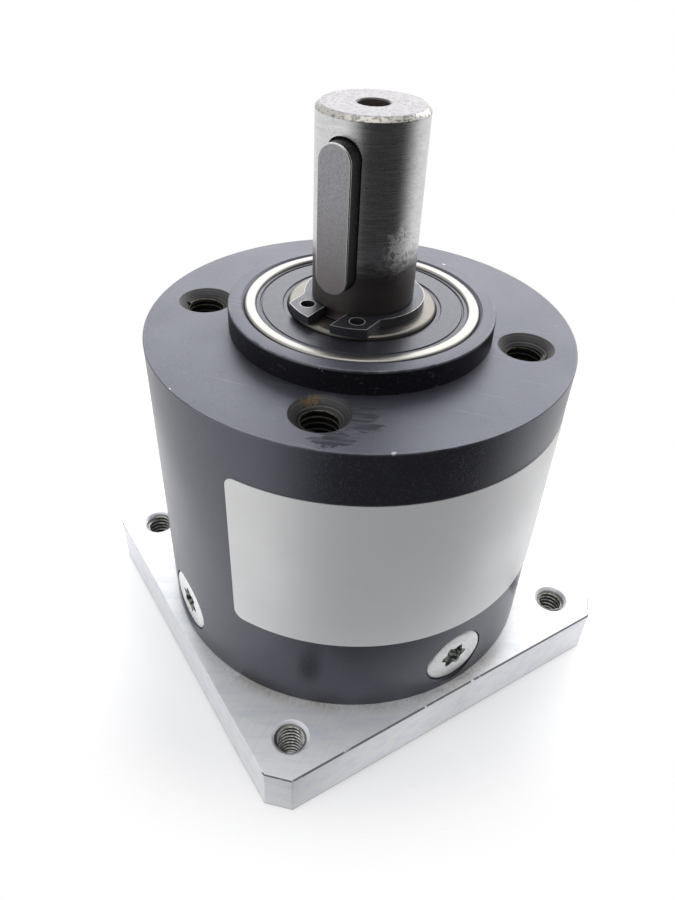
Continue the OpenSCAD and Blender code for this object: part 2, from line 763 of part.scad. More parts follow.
housing();
motor_adapter();
radial_screws();
ring_gear();
label();
front_bearing_outer_ring();
front_bearing_seals();
front_bearing_balls();
front_bearing_inner_ring();
rear_bearing_outer_ring();
rear_bearing_seals();
rear_bearing_balls();
rear_bearing_inner_ring();
bearing_spacer();
output_shaft();
shaft_key();
shaft_circlip();
planet_carrier();
planet_pins();
planet_washers();
planet_gear_1();
planet_gear_2();
planet_gear_3();
planet_needles_1();
planet_needles_2();
planet_needles_3();
sun_pinion();
clamp_ring();
clamp_screw();
pinion_circlip();
input_bearing_outer_ring();
input_bearing_seals();
input_bearing_balls();
input_bearing_inner_ring();
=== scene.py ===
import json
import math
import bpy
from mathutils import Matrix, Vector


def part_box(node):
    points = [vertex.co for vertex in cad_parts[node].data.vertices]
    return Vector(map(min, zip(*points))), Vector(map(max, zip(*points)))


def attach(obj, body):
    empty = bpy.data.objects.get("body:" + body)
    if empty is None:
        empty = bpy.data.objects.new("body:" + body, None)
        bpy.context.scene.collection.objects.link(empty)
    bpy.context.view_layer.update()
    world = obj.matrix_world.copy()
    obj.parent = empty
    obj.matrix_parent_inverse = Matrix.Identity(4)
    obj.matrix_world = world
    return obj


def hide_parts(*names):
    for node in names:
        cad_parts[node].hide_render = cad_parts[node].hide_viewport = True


bl_info = {
    "name": "Inline gear reducer",
    "version": (1, 0, 0),
    "blender": (4, 5, 0),
    "location": "View3D > Sidebar > Reducer",
    "description": "Dresses a planetary gear reducer piece by piece and sets its stage",
    "category": "Object",
}

import bpy
from bpy.props import FloatProperty, FloatVectorProperty, IntProperty, PointerProperty
from mathutils import Matrix, Vector

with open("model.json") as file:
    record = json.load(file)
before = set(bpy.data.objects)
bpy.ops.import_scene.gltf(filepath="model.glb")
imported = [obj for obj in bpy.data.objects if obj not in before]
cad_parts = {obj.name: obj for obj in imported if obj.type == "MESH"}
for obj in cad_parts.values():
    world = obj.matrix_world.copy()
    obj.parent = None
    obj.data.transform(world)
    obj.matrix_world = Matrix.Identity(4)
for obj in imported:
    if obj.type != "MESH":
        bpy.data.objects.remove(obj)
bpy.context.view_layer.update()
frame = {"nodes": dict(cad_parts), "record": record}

MM = 0.001
TURN = 2 * math.pi
ORIGIN = (0.0, 0.0, 0.0)
WHITE = (1.0, 1.0, 1.0)
NEAR = 0.02 * MM
SMOOTH_BELOW = math.radians(32)
WIPED_WAY = math.radians(33.7)
CAMERA_TARGET = Vector((-3.080, -2.474, 30.0)) * MM
CAMERA_SHIFT = (-0.0076, 0.0103)

# ---------------------------------------------------------------- measures
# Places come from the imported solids, so a new pack moves the pieces with it.


def low(node):
    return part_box(node)[0]


def high(node):
    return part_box(node)[1]


def radius_of(node):
    return (high(node).x - low(node).x) / 2


MOUNTS = {mount["name"]: mount for mount in frame["record"]["mounts"]}


def mount_size(name, key):
    return MOUNTS[name]["dims"][key] * MM


BODY_R = radius_of("housing")
BODY_LOW = low("housing").z
PILOT_TOP = high("housing").z
PILOT_R = mount_size("output_pilot", "r_mm")
FLANGE_HOLE_R = mount_size("output_flange_holes", "pcd_mm") / 2
PLATE_HALF = radius_of("motor_adapter")
SPIGOT_TOP = high("motor_adapter").z
MOTOR_HOLE = mount_size("motor_holes", "spacing_x_mm") / 2
MOTOR_PILOT_R = mount_size("motor_pilot", "r_mm")
RING_R = radius_of("ring_gear")
RING_TOP = high("ring_gear").z
BEARING_R = radius_of("front_bearing_outer_ring")
BEARING_LOW = low("front_bearing_outer_ring").z
REAR_BEARING_LOW = low("rear_bearing_outer_ring").z
REAR_BEARING_TOP = high("rear_bearing_outer_ring").z
LAND_R = radius_of("front_bearing_inner_ring")
SEAL_R = radius_of("front_bearing_seals")
INPUT_BEARING_R = radius_of("input_bearing_outer_ring")
INPUT_BEARING_LOW = low("input_bearing_outer_ring").z
SHAFT_R = radius_of("output_shaft")
SHAFT_LOW = low("output_shaft").z
SHAFT_TOP = high("output_shaft").z
KEY_LOW = low("shaft_key").z
KEY_TOP = high("shaft_key").z
CLIP_LOW = low("shaft_circlip").z
CLIP_TOP = high("shaft_circlip").z
HEAD_R = (high("radial_screws").z - low("radial_screws").z) / 2
HEAD_Z = (high("radial_screws").z + low("radial_screws").z) / 2
HEAD_FACE = radius_of("radial_screws")
LABEL_LOW = low("label").z
LABEL_TOP = high("label").z

# ---------------------------------------------------------------- settings


def length(name, description, millimetres):
    return FloatProperty(name=name, description=description, default=millimetres * MM,
                         min=0.0, precision=5, subtype="DISTANCE", unit="LENGTH")


def angle(name, description, degrees):
    return FloatProperty(name=name, description=description,
                         default=math.radians(degrees), subtype="ANGLE", unit="ROTATION")


def share(name, description, default):
    return FloatProperty(name=name, description=description, default=default,
                         min=0.0, max=1.0, subtype="FACTOR")


def colour(name, description, default):
    return FloatVectorProperty(name=name, description=description, size=3,
                               default=default, min=0.0, max=1.0, subtype="COLOR")


class HousingSettings(bpy.types.PropertyGroup):
    flange_step: length("Pilot height", "Height of the pilot above the flange", 3.0)
    edge: length("Edge", "Rounding of the flange's and the foot's outer edges", 0.14)
    pilot_edge: length("Pilot edge", "Chamfer at the pilot's outer edge", 0.32)
    seat_lead: length("Seat lead", "Chamfer where the bearing goes in", 0.4)
    web_hole: length("Web hole", "Diameter of the hole between the bearings", 23.0)
    chamber_rim: length("Gear chamber", "Wall from the ring gear's seat to the gear chamber", 1.8)
    thread: length("Flange thread", "Major diameter of the flange threads", 5.0)
    pitch: length("Flange pitch", "Pitch of the flange threads", 0.8)
    thread_depth: length("Thread depth", "Depth of the flange threads", 12.0)
    sink: length("Countersink", "Diameter of the countersinks in the flange", 6.5)
    head_room: length("Head room", "Gap round the radial screws' heads", 0.16)
    coat: colour("Coat", "Colour of the black coat", (0.010, 0.010, 0.014))
    faced: colour("Faced coat", "Colour of the coat on the top", (0.030, 0.031, 0.040))
    bare: colour("Bare metal", "Colour where the coat is worn through", (0.62, 0.62, 0.64))
    rust: colour("Rust", "Colour of the rust at the front hole", (0.17, 0.115, 0.03))


class PlateSettings(bpy.types.PropertyGroup):
    corner: length("Corner", "Chamfer at the plate's four corners", 2.6)
    edge: length("Edge", "Broken edge round both faces", 0.2)
    thread: length("Thread", "Major diameter of the motor screws' threads", 4.0)
    pitch: length("Pitch", "Pitch of the motor screws' threads", 0.7)
    sink: length("Countersink", "Diameter of the countersinks", 4.7)
    pilot_depth: length("Motor pilot", "Depth of the recess for the motor's pilot", 3.0)
    cavity: length("Cavity", "Diameter of the cavity round the clamp ring", 26.0)
    lip: length("Lip", "Width of the lip that stops the input bearing", 1.5)
    shoulder: length("Shoulder", "Thickness of that lip", 1.0)
    key_hole: length("Key hole", "Diameter of the hole for the clamp screw's key", 2.2)
    metal: colour("Metal", "Colour of the milled aluminium", (0.94, 0.945, 0.97))
    grime: colour("Grime", "Colour of the dirt round the housing's foot", (0.30, 0.27, 0.21))


class BearingSettings(bpy.types.PropertyGroup):
    ball: length("Ball", "Diameter of the balls", 4.762)
    race_gap: length("Race gap", "Gap between balls and races", 0.1)
    edge: length("Edge", "Rounding of the rings' edges", 0.3)
    seal_depth: length("Seal depth", "Depth of the seals below the rings' faces", 0.3)
    seal_back: length("Seal back", "Depth of the seals' back faces", 1.2)
    ring: colour("Ring", "Colour of the ground rings", (0.33, 0.32, 0.30))
    worn: colour("Worn ring", "Colour of the inner ring's stained face", (0.165, 0.155, 0.14))
    seal: colour("Seal", "Colour of the seal rubber", (0.013, 0.013, 0.017))


class ShaftSettings(bpy.types.PropertyGroup):
    edge: length("End chamfer", "Chamfer at the shaft's ends", 0.5)
    centre_hole: length("Centre hole", "Diameter of the centre hole", 3.3)
    centre_depth: length("Centre depth", "Depth of the centre hole", 10.0)
    groove: length("Clip groove", "Depth of the circlip's groove", 0.25)
    key_width: length("Key width", "Width of the key", 3.96)
    key_seat: length("Key seat", "Depth of the keyway", 2.5)
    key_height: length("Key height", "Height of the key", 4.0)
    key_edge: length("Key edge", "Broken edge of the key", 0.15)
    key_room: length("Key room", "Gap between the key and the keyway's rim", 0.14)
    key_turn: angle("Key direction", "Direction in which the key points", -153.0)
    steel: colour("Shaft steel", "Colour of the ground shaft", (0.88, 0.87, 0.89))
    key_steel: colour("Key steel", "Colour of the drawn key steel", (0.36, 0.355, 0.375))
    key_side: colour("Key sides", "Colour of the key's sides, darker than its outer face", (0.035, 0.034, 0.036))


class ClipSettings(bpy.types.PropertyGroup):
    band: length("Band", "Width of the ring opposite the lugs", 1.8)
    shift: length("Shift", "Shift of the ring's outer edge from the lugs", 0.4)
    reach: length("Lug reach", "Reach of the lugs outside the shaft", 3.1)
    lug: length("Lug width", "Width of each lug", 3.8)
    mouth: length("Mouth", "Gap between the lugs", 3.0)
    eye: length("Eye", "Diameter of the plier holes", 1.7)
    fillet: length("Fillet", "Radius between the ring and each lug", 0.9)
    corner: length("Lug corner", "Rounding of the lugs' outer corners", 0.25)
    bright: length("Bright edge", "Width of the worn line and painted highlight along the upper edges", 0.08)
    turn: angle("Direction", "Direction of the gap between the lugs", -156.0)
    black: colour("Phosphate", "Colour of the phosphated spring steel", (0.016, 0.016, 0.019))


class ScrewSettings(bpy.types.PropertyGroup):
    count: IntProperty(name="Count", description="Number of radial screws", default=4, min=1, max=12)
    thread: length("Thread", "Diameter of the screws", 4.0)
    over_all: length("Length", "Length of each screw over its head", 8.0)
    rim: length("Rim", "Straight rim of each head", 0.3)
    crown: length("Crown", "Height of the rounding round each head", 0.18)
    drive: length("Drive", "Size across the six-lobe drive", 3.9)
    drive_depth: length("Drive depth", "Depth of the drive", 1.2)
    zinc: colour("Zinc", "Colour of the zinc plate", (0.86, 0.86, 0.86))


class LabelSettings(bpy.types.PropertyGroup):
    start: angle("Start", "Angle at which the label starts", -155.5)
    end: angle("End", "Angle at which the label ends", -34.0)
    corner: length("Corner", "Radius of the label's corners", 1.3)
    outside: length("Outside", "Height of the label's outer face above the housing", 0.1)
    thickness: length("Thickness", "Thickness of the foil", 0.095)
    foil: colour("Foil", "Colour of the silver foil", (0.86, 0.86, 0.86))


class StageSettings(bpy.types.PropertyGroup):
    floor: length("Floor", "Radius of the round white floor", 70.0)
    solid_floor: length("Solid floor", "Radius out to which the floor is solid", 55.0)
    back_shift: length("Floor shift", "Shift of the floor away from the camera", 25.0)
    azimuth: angle("Azimuth", "Direction from which the camera looks", -33.748)
    elevation: angle("Elevation", "Height of the camera's direction", 38.690)
    roll: angle("Roll", "Turn of the camera about its own axis", 2.861)
    distance: length("Distance", "Distance from the camera to its target", 99.765)
    lens: FloatProperty(name="Lens", description="Focal length in millimetres", default=29.824,
                        min=1.0, subtype="DISTANCE_CAMERA")
    sky: share("Sky", "Strength of the even light", 0.56)
    dark: share("Dark side", "What polished metal mirrors from the viewer's side", 0.03)

# ---------------------------------------------------------------- modelling


def take(piece):
    """Leaves edit mode and makes the piece the only selected and the active one."""
    if bpy.context.object and bpy.context.object.mode != "OBJECT":
        bpy.ops.object.mode_set(mode="OBJECT")
    bpy.ops.object.select_all(action="DESELECT")
    if piece:
        piece.select_set(True)
        bpy.context.view_layer.objects.active = piece
    return piece


def edit(piece, kind="VERT", test=lambda *where: True):
    """Goes into edit mode with the vertices, edges or faces selected that pass the test."""
    take(piece)
    bpy.ops.object.mode_set(mode="EDIT")
    bpy.ops.mesh.select_mode(type=kind)
    bpy.ops.mesh.select_all(action="DESELECT")
    bpy.ops.object.mode_set(mode="OBJECT")
    mesh = piece.data
    parts = {"VERT": mesh.vertices, "EDGE": mesh.edges, "FACE": mesh.polygons}[kind]
    for part in parts:
        if kind == "EDGE":
            a, b = (mesh.vertices[i].co for i in part.vertices)
            part.select = test((a + b) / 2, (b - a).normalized())
        elif kind == "FACE":
            part.select = test(part.center, part.normal)
        else:
            part.select = test(part.co)
    bpy.ops.object.mode_set(mode="EDIT")


def modify(piece, kind, **settings):
    """Gives the piece a modifier and applies it."""
    take(piece)
    modifier = piece.modifiers.new(kind.title(), kind)
    for name, value in settings.items():
        setattr(modifier, name, value)
    bpy.ops.object.modifier_apply(modifier=modifier.name)
    return piece


def put(piece, *moves):
    """Applies the moves, the first one first, to the piece and into its mesh."""
    take(piece)
    for move in moves:
        piece.matrix_world = move @ piece.matrix_world
    bpy.ops.object.transform_apply(location=True, rotation=True, scale=True)
    return piece


def turned(radians, axis="Z"):
    return Matrix.Rotation(radians, 4, axis)


def moved(x=0.0, y=0.0, z=0.0):
    return Matrix.Translation((x, y, z))


def copy_of(piece, name):
    """A copy with a mesh of its own."""
    take(piece)
    bpy.ops.object.duplicate(linked=False)
    bpy.context.object.name = name
    return bpy.context.object


def made_of(piece, *materials):
    for material in materials:
        piece.data.materials.append(material)
    return piece


def started(name, add, **settings):
    """Adds a simple form and goes into edit mode with all of it selected."""
    take(None)
    add(**settings)
    bpy.context.object.name = name
    bpy.ops.object.mode_set(mode="EDIT")
    return bpy.context.object


def drawn(name, outline, closed):
    """Draws (radius, height) points as a line in the XZ plane and stays in edit mode."""
    piece = started(name, bpy.ops.mesh.primitive_plane_add, size=MM)
    bpy.ops.mesh.select_mode(type="VERT")
    bpy.ops.mesh.merge(type="CENTER")
    bpy.ops.transform.translate(value=(outline[0][0], 0, outline[0][1]))
    path = outline[1:] + (outline[:1] if closed else [])
    for (r0, z0), (r1, z1) in zip(outline, path):
        bpy.ops.mesh.extrude_region_move(
            TRANSFORM_OT_translate={"value": (r1 - r0, 0, z1 - z0)})
    bpy.ops.mesh.select_all(action="SELECT")
    return piece


def lathe(name, outline, closed=True, steps=144):
    """Turns an outline of (radius, height) points about the Z axis."""
    piece = drawn(name, outline, closed)
    bpy.ops.mesh.spin(steps=steps, angle=TURN, center=ORIGIN, axis=(0, 0, 1))
    bpy.ops.mesh.select_all(action="SELECT")
    bpy.ops.mesh.remove_doubles(threshold=MM / 1000)
    bpy.ops.mesh.normals_make_consistent(inside=False)
    return take(piece)


def block(name, size, centre):
    piece = started(name, bpy.ops.mesh.primitive_cube_add, size=1)
    bpy.ops.transform.resize(value=size)
    return put(piece, moved(*centre))


def disc(name, radius, bottom, top, steps=144):
    return lathe(name, [(0, bottom), (radius, bottom), (radius, top), (0, top)], False, steps)


def rounded(piece, width, segments=3, limit=30, material=-1):
    """Rounds all edges that are sharper than the limit."""
    return modify(piece, "BEVEL", width=width, segments=segments, limit_method="ANGLE",
                  angle_limit=math.radians(limit), material=material, use_clamp_overlap=True)


def bevel(piece, test, width, segments):
    """Rounds the edges that pass the test, or chamfers them with one segment."""
    edit(piece, "EDGE", test)
    bpy.ops.mesh.bevel(offset=width, segments=segments, affect="EDGES")
    return take(piece)


def near(value, wanted):
    return abs(value - wanted) < NEAR


def rim(piece, width, radius, height, segments=3):
    """Rounds one turned edge, the circle of that radius at that height."""
    return bevel(piece, lambda place, way: abs(way.z) < 0.1 and near(place.z, height)
                 and near(place.xy.length, radius), width, segments)


def assign(piece, index):
    """Gives the selected faces the finish of that number."""
    piece.active_material_index = index
    bpy.ops.object.material_slot_assign()


def coated(piece, material, test):
    """Gives the faces that pass the test a finish of their own."""
    made_of(piece, material)
    edit(piece, "FACE", test)
    assign(piece, len(piece.data.materials) - 1)
    return take(piece)


def cut(piece, tool, operation="DIFFERENCE"):
    """Takes the tool away from the piece, or joins it to the piece or keeps what both share."""
    modify(piece, "BOOLEAN", object=tool, operation=operation, solver="EXACT",
           material_mode="TRANSFER")
    bpy.data.objects.remove(tool)
    edit(piece)
    bpy.ops.mesh.remove_doubles(threshold=MM / 2000)
    bpy.ops.mesh.dissolve_degenerate(threshold=MM / 5000)
    return take(piece)


def cut_round(piece, tool, count):
    """Takes the tool away at equal steps round the Z axis."""
    for number in range(count):
        cut(piece, put(copy_of(tool, f"{tool.name}_{number}"), turned(TURN * number / count)))
    bpy.data.objects.remove(tool)


def drilled(name, sink, width, deep, rim, neck=None):
    """The tool for a countersunk hole that goes down from the origin. Its rim is the worn edge
    of the countersink, and a neck stands in over the start of the thread."""
    hole, mouth = width / 2, sink / 2
    point, land = 0.3 * hole, 0.2 * MM
    foot = -rim / 2 - (mouth - (neck or hole))
    waist = [(hole, foot)]
    if neck:
        waist = [(neck, foot), (neck, foot - land), (hole, foot - land - (hole - neck))]
    return lathe(name, [(0, MM), (mouth + rim, MM), (mouth + rim, 0), (mouth, -rim / 2), *waist,
                        (hole, -deep), (0, -deep - point)], False, steps=64)


def ridge(name, crest, wall, pitch, bottom, top):
    """A thread's ridge: it winds up the wall of a hole and stands in to the crest."""
    bite, flat = 0.06 * MM, 0.1 * pitch
    half = (wall - crest) * 0.55
    piece = drawn(name, [(wall + bite, bottom), (wall, bottom), (crest, bottom + half),
                         (crest, bottom + half + flat), (wall, bottom + 2 * half + flat),
                         (wall + bite, bottom + 2 * half + flat)], True)
    bpy.ops.mesh.remove_doubles(threshold=MM / 2000)
    modify(piece, "SCREW", angle=TURN, screw_offset=pitch, axis="Z", steps=36, render_steps=36,
           iterations=max(1, round((top - bottom) / pitch)), use_merge_vertices=True)
    edit(piece)
    bpy.ops.mesh.remove_doubles(threshold=MM / 2000)
    bpy.ops.mesh.select_all(action="SELECT")
    bpy.ops.mesh.fill_holes(sides=8)
    bpy.ops.mesh.normals_make_consistent(inside=False)
    return take(piece)


def finished(piece, body, slot, materials, *nodes):
    """Checks and shades a piece, gives it its finish and lets it ride on its body."""
    edit(piece, "VERT", lambda place: False)
    bpy.ops.mesh.select_non_manifold(extend=False)
    take(piece)
    if any(vertex.select for vertex in piece.data.vertices):
        raise RuntimeError(f"{piece.name} has an open or doubled edge")
    bpy.ops.object.shade_smooth_by_angle(angle=SMOOTH_BELOW)
    modify(piece, "WEIGHTED_NORMAL", keep_sharp=True)
    if piece.data.materials:
        for index, material in enumerate(materials[:len(piece.data.materials)]):
            piece.data.materials[index] = material
    else:
        made_of(piece, *materials)
    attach(piece, body)
    if nodes:
        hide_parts(*nodes)
    return piece


def corner_threads(name, profile, moves, slot, metal):
    """Winds a thread into the first of four holes, copies it to the others and finishes all."""
    first = put(ridge(f"{name}_1", *profile), *moves)
    others = [put(copy_of(first, f"{name}_{number + 1}"), turned(TURN * number / 4))
              for number in range(1, 4)]
    for thread in (*others, first):
        finished(thread, "root", slot, [metal])

# ---------------------------------------------------------------- node trees


class Wire:
    """An output of a node. What is reckoned with it becomes more nodes in the same tree."""

    def __init__(self, board, socket):
        self.board, self.socket = board, socket

    def maths(self, operation, *values, output=0):
        kind = "VectorMath" if self.socket.type == "VECTOR" else "Math"
        return self.board.node(kind, dict(enumerate(values)), output, operation=operation)

    def __add__(self, other):
        return self.maths("ADD", self, other)

    def __sub__(self, other):
        return self.maths("SUBTRACT", self, other)

    def __rsub__(self, other):
        return self.maths("SUBTRACT", other, self)

    def __mul__(self, other):
        return self.maths("MULTIPLY", self, other)

    def __truediv__(self, other):
        return self.maths("DIVIDE", self, other)

    def __rtruediv__(self, other):
        return self.maths("DIVIDE", other, self)

    def __abs__(self):
        return self.maths("ABSOLUTE", self)

    def most(self, other):
        return self.maths("MAXIMUM", self, other)

    def step(self, start, end):
        """0 up to start, 1 from end on, and smooth between them."""
        return self.board.node("MapRange", {0: self, 1: start, 2: end, 3: 0.0, 4: 1.0},
                               interpolation_type="SMOOTHSTEP", clamp=True)

    def scale(self, low_end, high_end):
        """Stretches a value from 0..1 to the two ends."""
        return self.board.node("MapRange", {0: self, 1: 0.0, 2: 1.0, 3: low_end, 4: high_end},
                               clamp=True)

    def mix(self, first, second):
        """Goes from the first colour at 0 to the second at 1."""
        return self.board.node("Mix", {0: self, 6: first, 7: second}, 2, data_type="RGBA")

    def noise(self, scale, detail=2.0, rough=0.5):
        """Noise over a place, or along a line where the wire carries a single value."""
        line = self.socket.type == "VALUE"
        return self.board.node(
            "TexNoise", {"W" if line else "Vector": self, "Scale": scale, "Detail": detail,
                         "Roughness": rough}, noise_dimensions="1D" if line else "3D")

    def join(self, y, z):
        """A vector with this value as its X."""
        return self.board.node("CombineXYZ", {0: self, 1: y, 2: z})

    def split(self):
        made = self.board.add("SeparateXYZ", {0: self})
        return [Wire(self.board, socket) for socket in made.outputs]

    def length(self):
        return self.maths("LENGTH", self, output="Value")

    def along(self, direction):
        """How far a place lies in a direction."""
        return self.maths("DOT_PRODUCT", self, direction, output="Value")

    def radius(self):
        """How far a place lies from the Z axis."""
        return (self * (1.0, 1.0, 0.0)).length()

    def effect(self, group, **values):
        """What a shared effect shows at this place."""
        inputs = {key.capitalize(): value for key, value in values.items()}
        return self.board.node("Group", {"Place": self, **inputs}, node_tree=group())


class Board:
    """Short hands for wiring one node tree."""

    def __init__(self, tree):
        tree.nodes.clear()
        self.tree = tree

    def feed(self, made, inputs):
        """Wires the inputs of a node that get a wire and sets those that get a value."""
        for key, value in inputs.items():
            socket = made.inputs[key]
            if isinstance(value, Wire):
                self.tree.links.new(value.socket, socket)
            else:
                socket.default_value = (*value[:3], 1.0) if socket.type == "RGBA" else value
        return made

    def add(self, kind, inputs, **settings):
        made = self.tree.nodes.new("ShaderNode" + kind)
        for name, value in settings.items():
            setattr(made, name, value)
        return self.feed(made, inputs)

    def node(self, kind, inputs=None, output=0, **settings):
        """Adds a node and gives one of its outputs."""
        return Wire(self, self.add(kind, inputs or {}, **settings).outputs[output])

    def ray(self, kind):
        """1 for rays of that kind."""
        return self.node("LightPath", output=f"Is {kind} Ray")


def shared_effect(**sockets):
    """Makes a function give the node group that it wires: each value named here is a socket."""
    def wrapped(wiring):
        def group():
            name = wiring.__name__.replace("_", " ").capitalize()
            tree = bpy.data.node_groups.get(name)
            if tree:
                return tree
            tree = bpy.data.node_groups.new(name, "ShaderNodeTree")
            board = Board(tree)
            for key, default in sockets.items():
                kind = "NodeSocketVector" if isinstance(default, tuple) else "NodeSocketFloat"
                socket = tree.interface.new_socket(key.capitalize(), in_out="INPUT", socket_type=kind)
                socket.default_value = default
            tree.interface.new_socket("Mask", in_out="OUTPUT", socket_type="NodeSocketFloat")
            given = [Wire(board, end) for end in tree.nodes.new("NodeGroupInput").outputs[:-1]]
            board.feed(tree.nodes.new("NodeGroupOutput"), {0: wiring(*given)})
            return tree
        return group
    return wrapped


@shared_effect(place=ORIGIN, size=0.0003, cut=0.6, softness=0.08)
def specks(place, size, cut, softness):
    """Fine spots: size is their spacing, cut how few of them show."""
    return place.noise(1.0 / size, 2.0, 0.6).step(cut, cut + softness)


@shared_effect(place=ORIGIN, pitch=0.0002, waver=2.0)
def turning_lines(place, pitch, waver):
    """The fine rings that a lathe tool leaves, on the sides and on the faces."""
    flat = place * (1.0, 1.0, 0.0)
    x, y, _ = flat.maths("NORMALIZE", flat).split()
    sway = x * waver
    across = flat.length() / pitch + sway * 0.3
    along = place.split()[2] / pitch + y * waver * 0.3
    return across.join(along, sway).noise(1.0, 3.0, 0.6)


@shared_effect(place=ORIGIN, centre=(0.1, 0.0, 0.0), pitch=0.0004, waver=1.5)
def milling_arcs(place, centre, pitch, waver):
    """The arcs that a face mill leaves: their centre lies beside the plate."""
    drift = place.noise(40.0) * waver
    return ((place - centre).length() / pitch + drift).noise(1.0, 3.0)


@shared_effect(place=ORIGIN, radius=0.01, height=0.0, reach=0.0004, patches=0.004, line=0.3)
def worn_rim(place, radius, height, reach, patches, line):
    """Wear along a turned edge at a radius and a height: a thin light line with a few nicks."""
    far = (place.radius() - radius).join(place.split()[2] - height, 0.0).length()
    patch = place.noise(1.0 / patches, 4.0, 0.65)
    nicks = patch.step(0.66, 0.72)
    wide = nicks.scale(0.55, 1.0) * reach
    close = 1.0 - far.step(wide * 0.6, wide)
    return close * nicks.most(patch.step(0.30, 0.62) * line)


@shared_effect(place=ORIGIN, centre=ORIGIN, reach=(0.001, 0.001, 0.001), ragged=1.0, grain=0.001)
def stain(place, centre, reach, ragged, grain):
    """A ragged patch about a centre; reach is its half size along each axis."""
    far = ((place - centre) / reach).length()
    rag = (place.noise(1.0 / grain, 5.0, 0.7) - 0.5) * ragged
    return 1.0 - (far + rag * 3.0).step(0.55, 1.0)


@shared_effect(place=ORIGIN, radius=0.01, spread=0.001, grain=0.0008)
def foot_grime_and_shade(place, radius, spread, grain):
    """Dirt and painted shade that gather round a turned foot and thin out with distance."""
    close = 1.0 - (abs(place.radius() - radius) / spread).step(0.0, 1.0)
    fine = place.noise(1.0 / grain, 4.0, 0.7).step(0.35, 0.75)
    return close * ((place.noise(220.0, 3.0).step(0.3, 0.7) + fine) * 0.6)


@shared_effect(place=ORIGIN, turn=ORIGIN, length=0.01, width=0.0001, cut=0.66)
def hairlines(place, turn, length, width, cut):
    """Long thin scratches along the X axis of the turned place."""
    x, y, z = place.board.node("VectorRotate", {"Vector": place, "Rotation": turn},
                               rotation_type="EULER_XYZ").split()
    return (x / length).join(y / width, z / width).noise(0.6, 1.0).step(cut, cut + 0.04)

# ---------------------------------------------------------------- materials


def finish(name):
    """Makes a material of a function that says what the shader's sockets get."""
    def maker(wiring):
        def make(*values, name=name, **options):
            material = bpy.data.materials.get(name)
            if material:
                return material
            material = bpy.data.materials.new(name)
            material.use_nodes = True
            board = Board(material.node_tree)
            place = board.node("TexCoord", output="Object")
            fed = wiring(place, *values, **options)
            height, depth = fed.pop("Relief")
            fed["Normal"] = board.node("Bump", {"Height": height, "Distance": depth, "Strength": 1.0})
            shader = board.node("BsdfPrincipled", {key.replace("_", " "): fed[key] for key in fed})
            board.add("OutputMaterial", {0: shader})
            return material
        return make
    return maker


def times(tone, factor):
    """The colour made lighter or darker."""
    return tuple(min(1.0, part * factor) for part in tone)


def painted(tone, *layers):
    """Lays colours over a tone, each as far as its mask says."""
    for mask, over in layers:
        tone = mask.mix(tone, over)
    return tone


def wiped(place, stretch):
    """The place drawn out along the way that the reducer was wiped."""
    spun = place.board.node("VectorRotate", {"Vector": place, "Angle": WIPED_WAY},
                            rotation_type="Z_AXIS")
    return spun * (stretch, 1.0, 1.0)


@finish("Black coat")
def black_coat(place, size, index=1.95):
    """Black coated housing: satin, with fine specks, and bare metal on its worn edges. Painted shade
    darkens the pilot's wall; dirt with painted shade darkens the face round the pilot's foot.
    """
    flange = PILOT_TOP - size.flange_step
    radius = place.radius()
    walls = radius.step(BODY_R - 0.20 * MM, BODY_R - 0.10 * MM)
    pilot = radius.step(PILOT_R - 0.1 * MM, PILOT_R) * place.split()[2].step(flange, flange + 0.1 * MM)
    cloud = place.noise(160.0, 4.0)
    dots = place.effect(specks, size=0.00022, cut=0.58)
    dust = place.effect(specks, size=0.0009, cut=0.68, softness=0.03)
    hair = place.effect(hairlines, turn=(0.0, 0.0, 0.9), length=0.006, width=0.00025, cut=0.71)
    # Dirt with painted shade in the corner round the pilot's foot.
    foot = place.effect(foot_grime_and_shade, radius=PILOT_R, spread=0.0012)
    rust = place.effect(stain, centre=(-0.0134, -0.0116, flange), reach=(0.0018, 0.0005, 0.0005),
                        ragged=0.6, grain=0.0003)
    nick = place.effect(stain, centre=(-0.0113, -0.0232, flange), reach=(0.0004, 0.0003, 0.0003),
                        ragged=0.6, grain=0.0003)
    rims = place.effect(worn_rim, radius=BODY_R, height=flange, patches=0.0025, line=0.12).most(
        place.effect(worn_rim, radius=PILOT_R, height=PILOT_TOP, reach=0.0006, patches=0.002, line=0.2))
    rims = rims.most(nick * 0.6)
    stretch = 0.35
    rubbed = wiped(place, stretch)
    smears = [rubbed.effect(stain, centre=(x * stretch, y, flange), reach=(w * stretch, h, 0.002),
                            ragged=0.9, grain=0.0009)
              for x, y, w, h in ((0.0001, -0.0197, 0.0022, 0.0017), (0.0003, -0.0214, 0.0024, 0.0014),
                                 (-0.0023, -0.0240, 0.0026, 0.0014))]
    smear = smears[0].most(smears[1].most(smears[2]) * 0.75).step(0.1, 0.5)
    streaks = (rubbed * (0.3, 1.0, 1.0)).noise(2600.0, 3.0).step(0.40, 0.62)
    smear = smear * streaks.scale(1.0, 0.5)
    tone = painted(
        (1.0 - walls.most(pilot)).mix(size.coat, size.faced),
        # Painted shade: the pilot's wall is coloured near black.
        (pilot, (0.004, 0.004, 0.006)),
        (dots * walls.scale(0.3, 0.12), (0.075, 0.075, 0.09)),
        (dust * walls.scale(0.45, 0.08), (0.13, 0.13, 0.14)),
        (cloud.scale(0.0, 0.35), (0.022, 0.022, 0.028)),
        (hair * walls.scale(0.25, 0.06), (0.18, 0.18, 0.19)),
        # Near black: the wiped smears, and the dirt with painted shade round the pilot's foot.
        (smear.most(foot * 0.8), (0.004, 0.004, 0.004)),
        (rust, size.rust),
        (rims, size.bare))
    rough = cloud.scale(0.40, 0.50) + smear.most(rust) * 0.45 - walls * 0.15
    return dict(Base_Color=tone, Roughness=rough, Metallic=rims, IOR=index,
                Specular_Tint=(0.80, 0.83, 1.0),
                Relief=(place.noise(5000.0) * 0.7 + dots * 0.7, 0.00001))


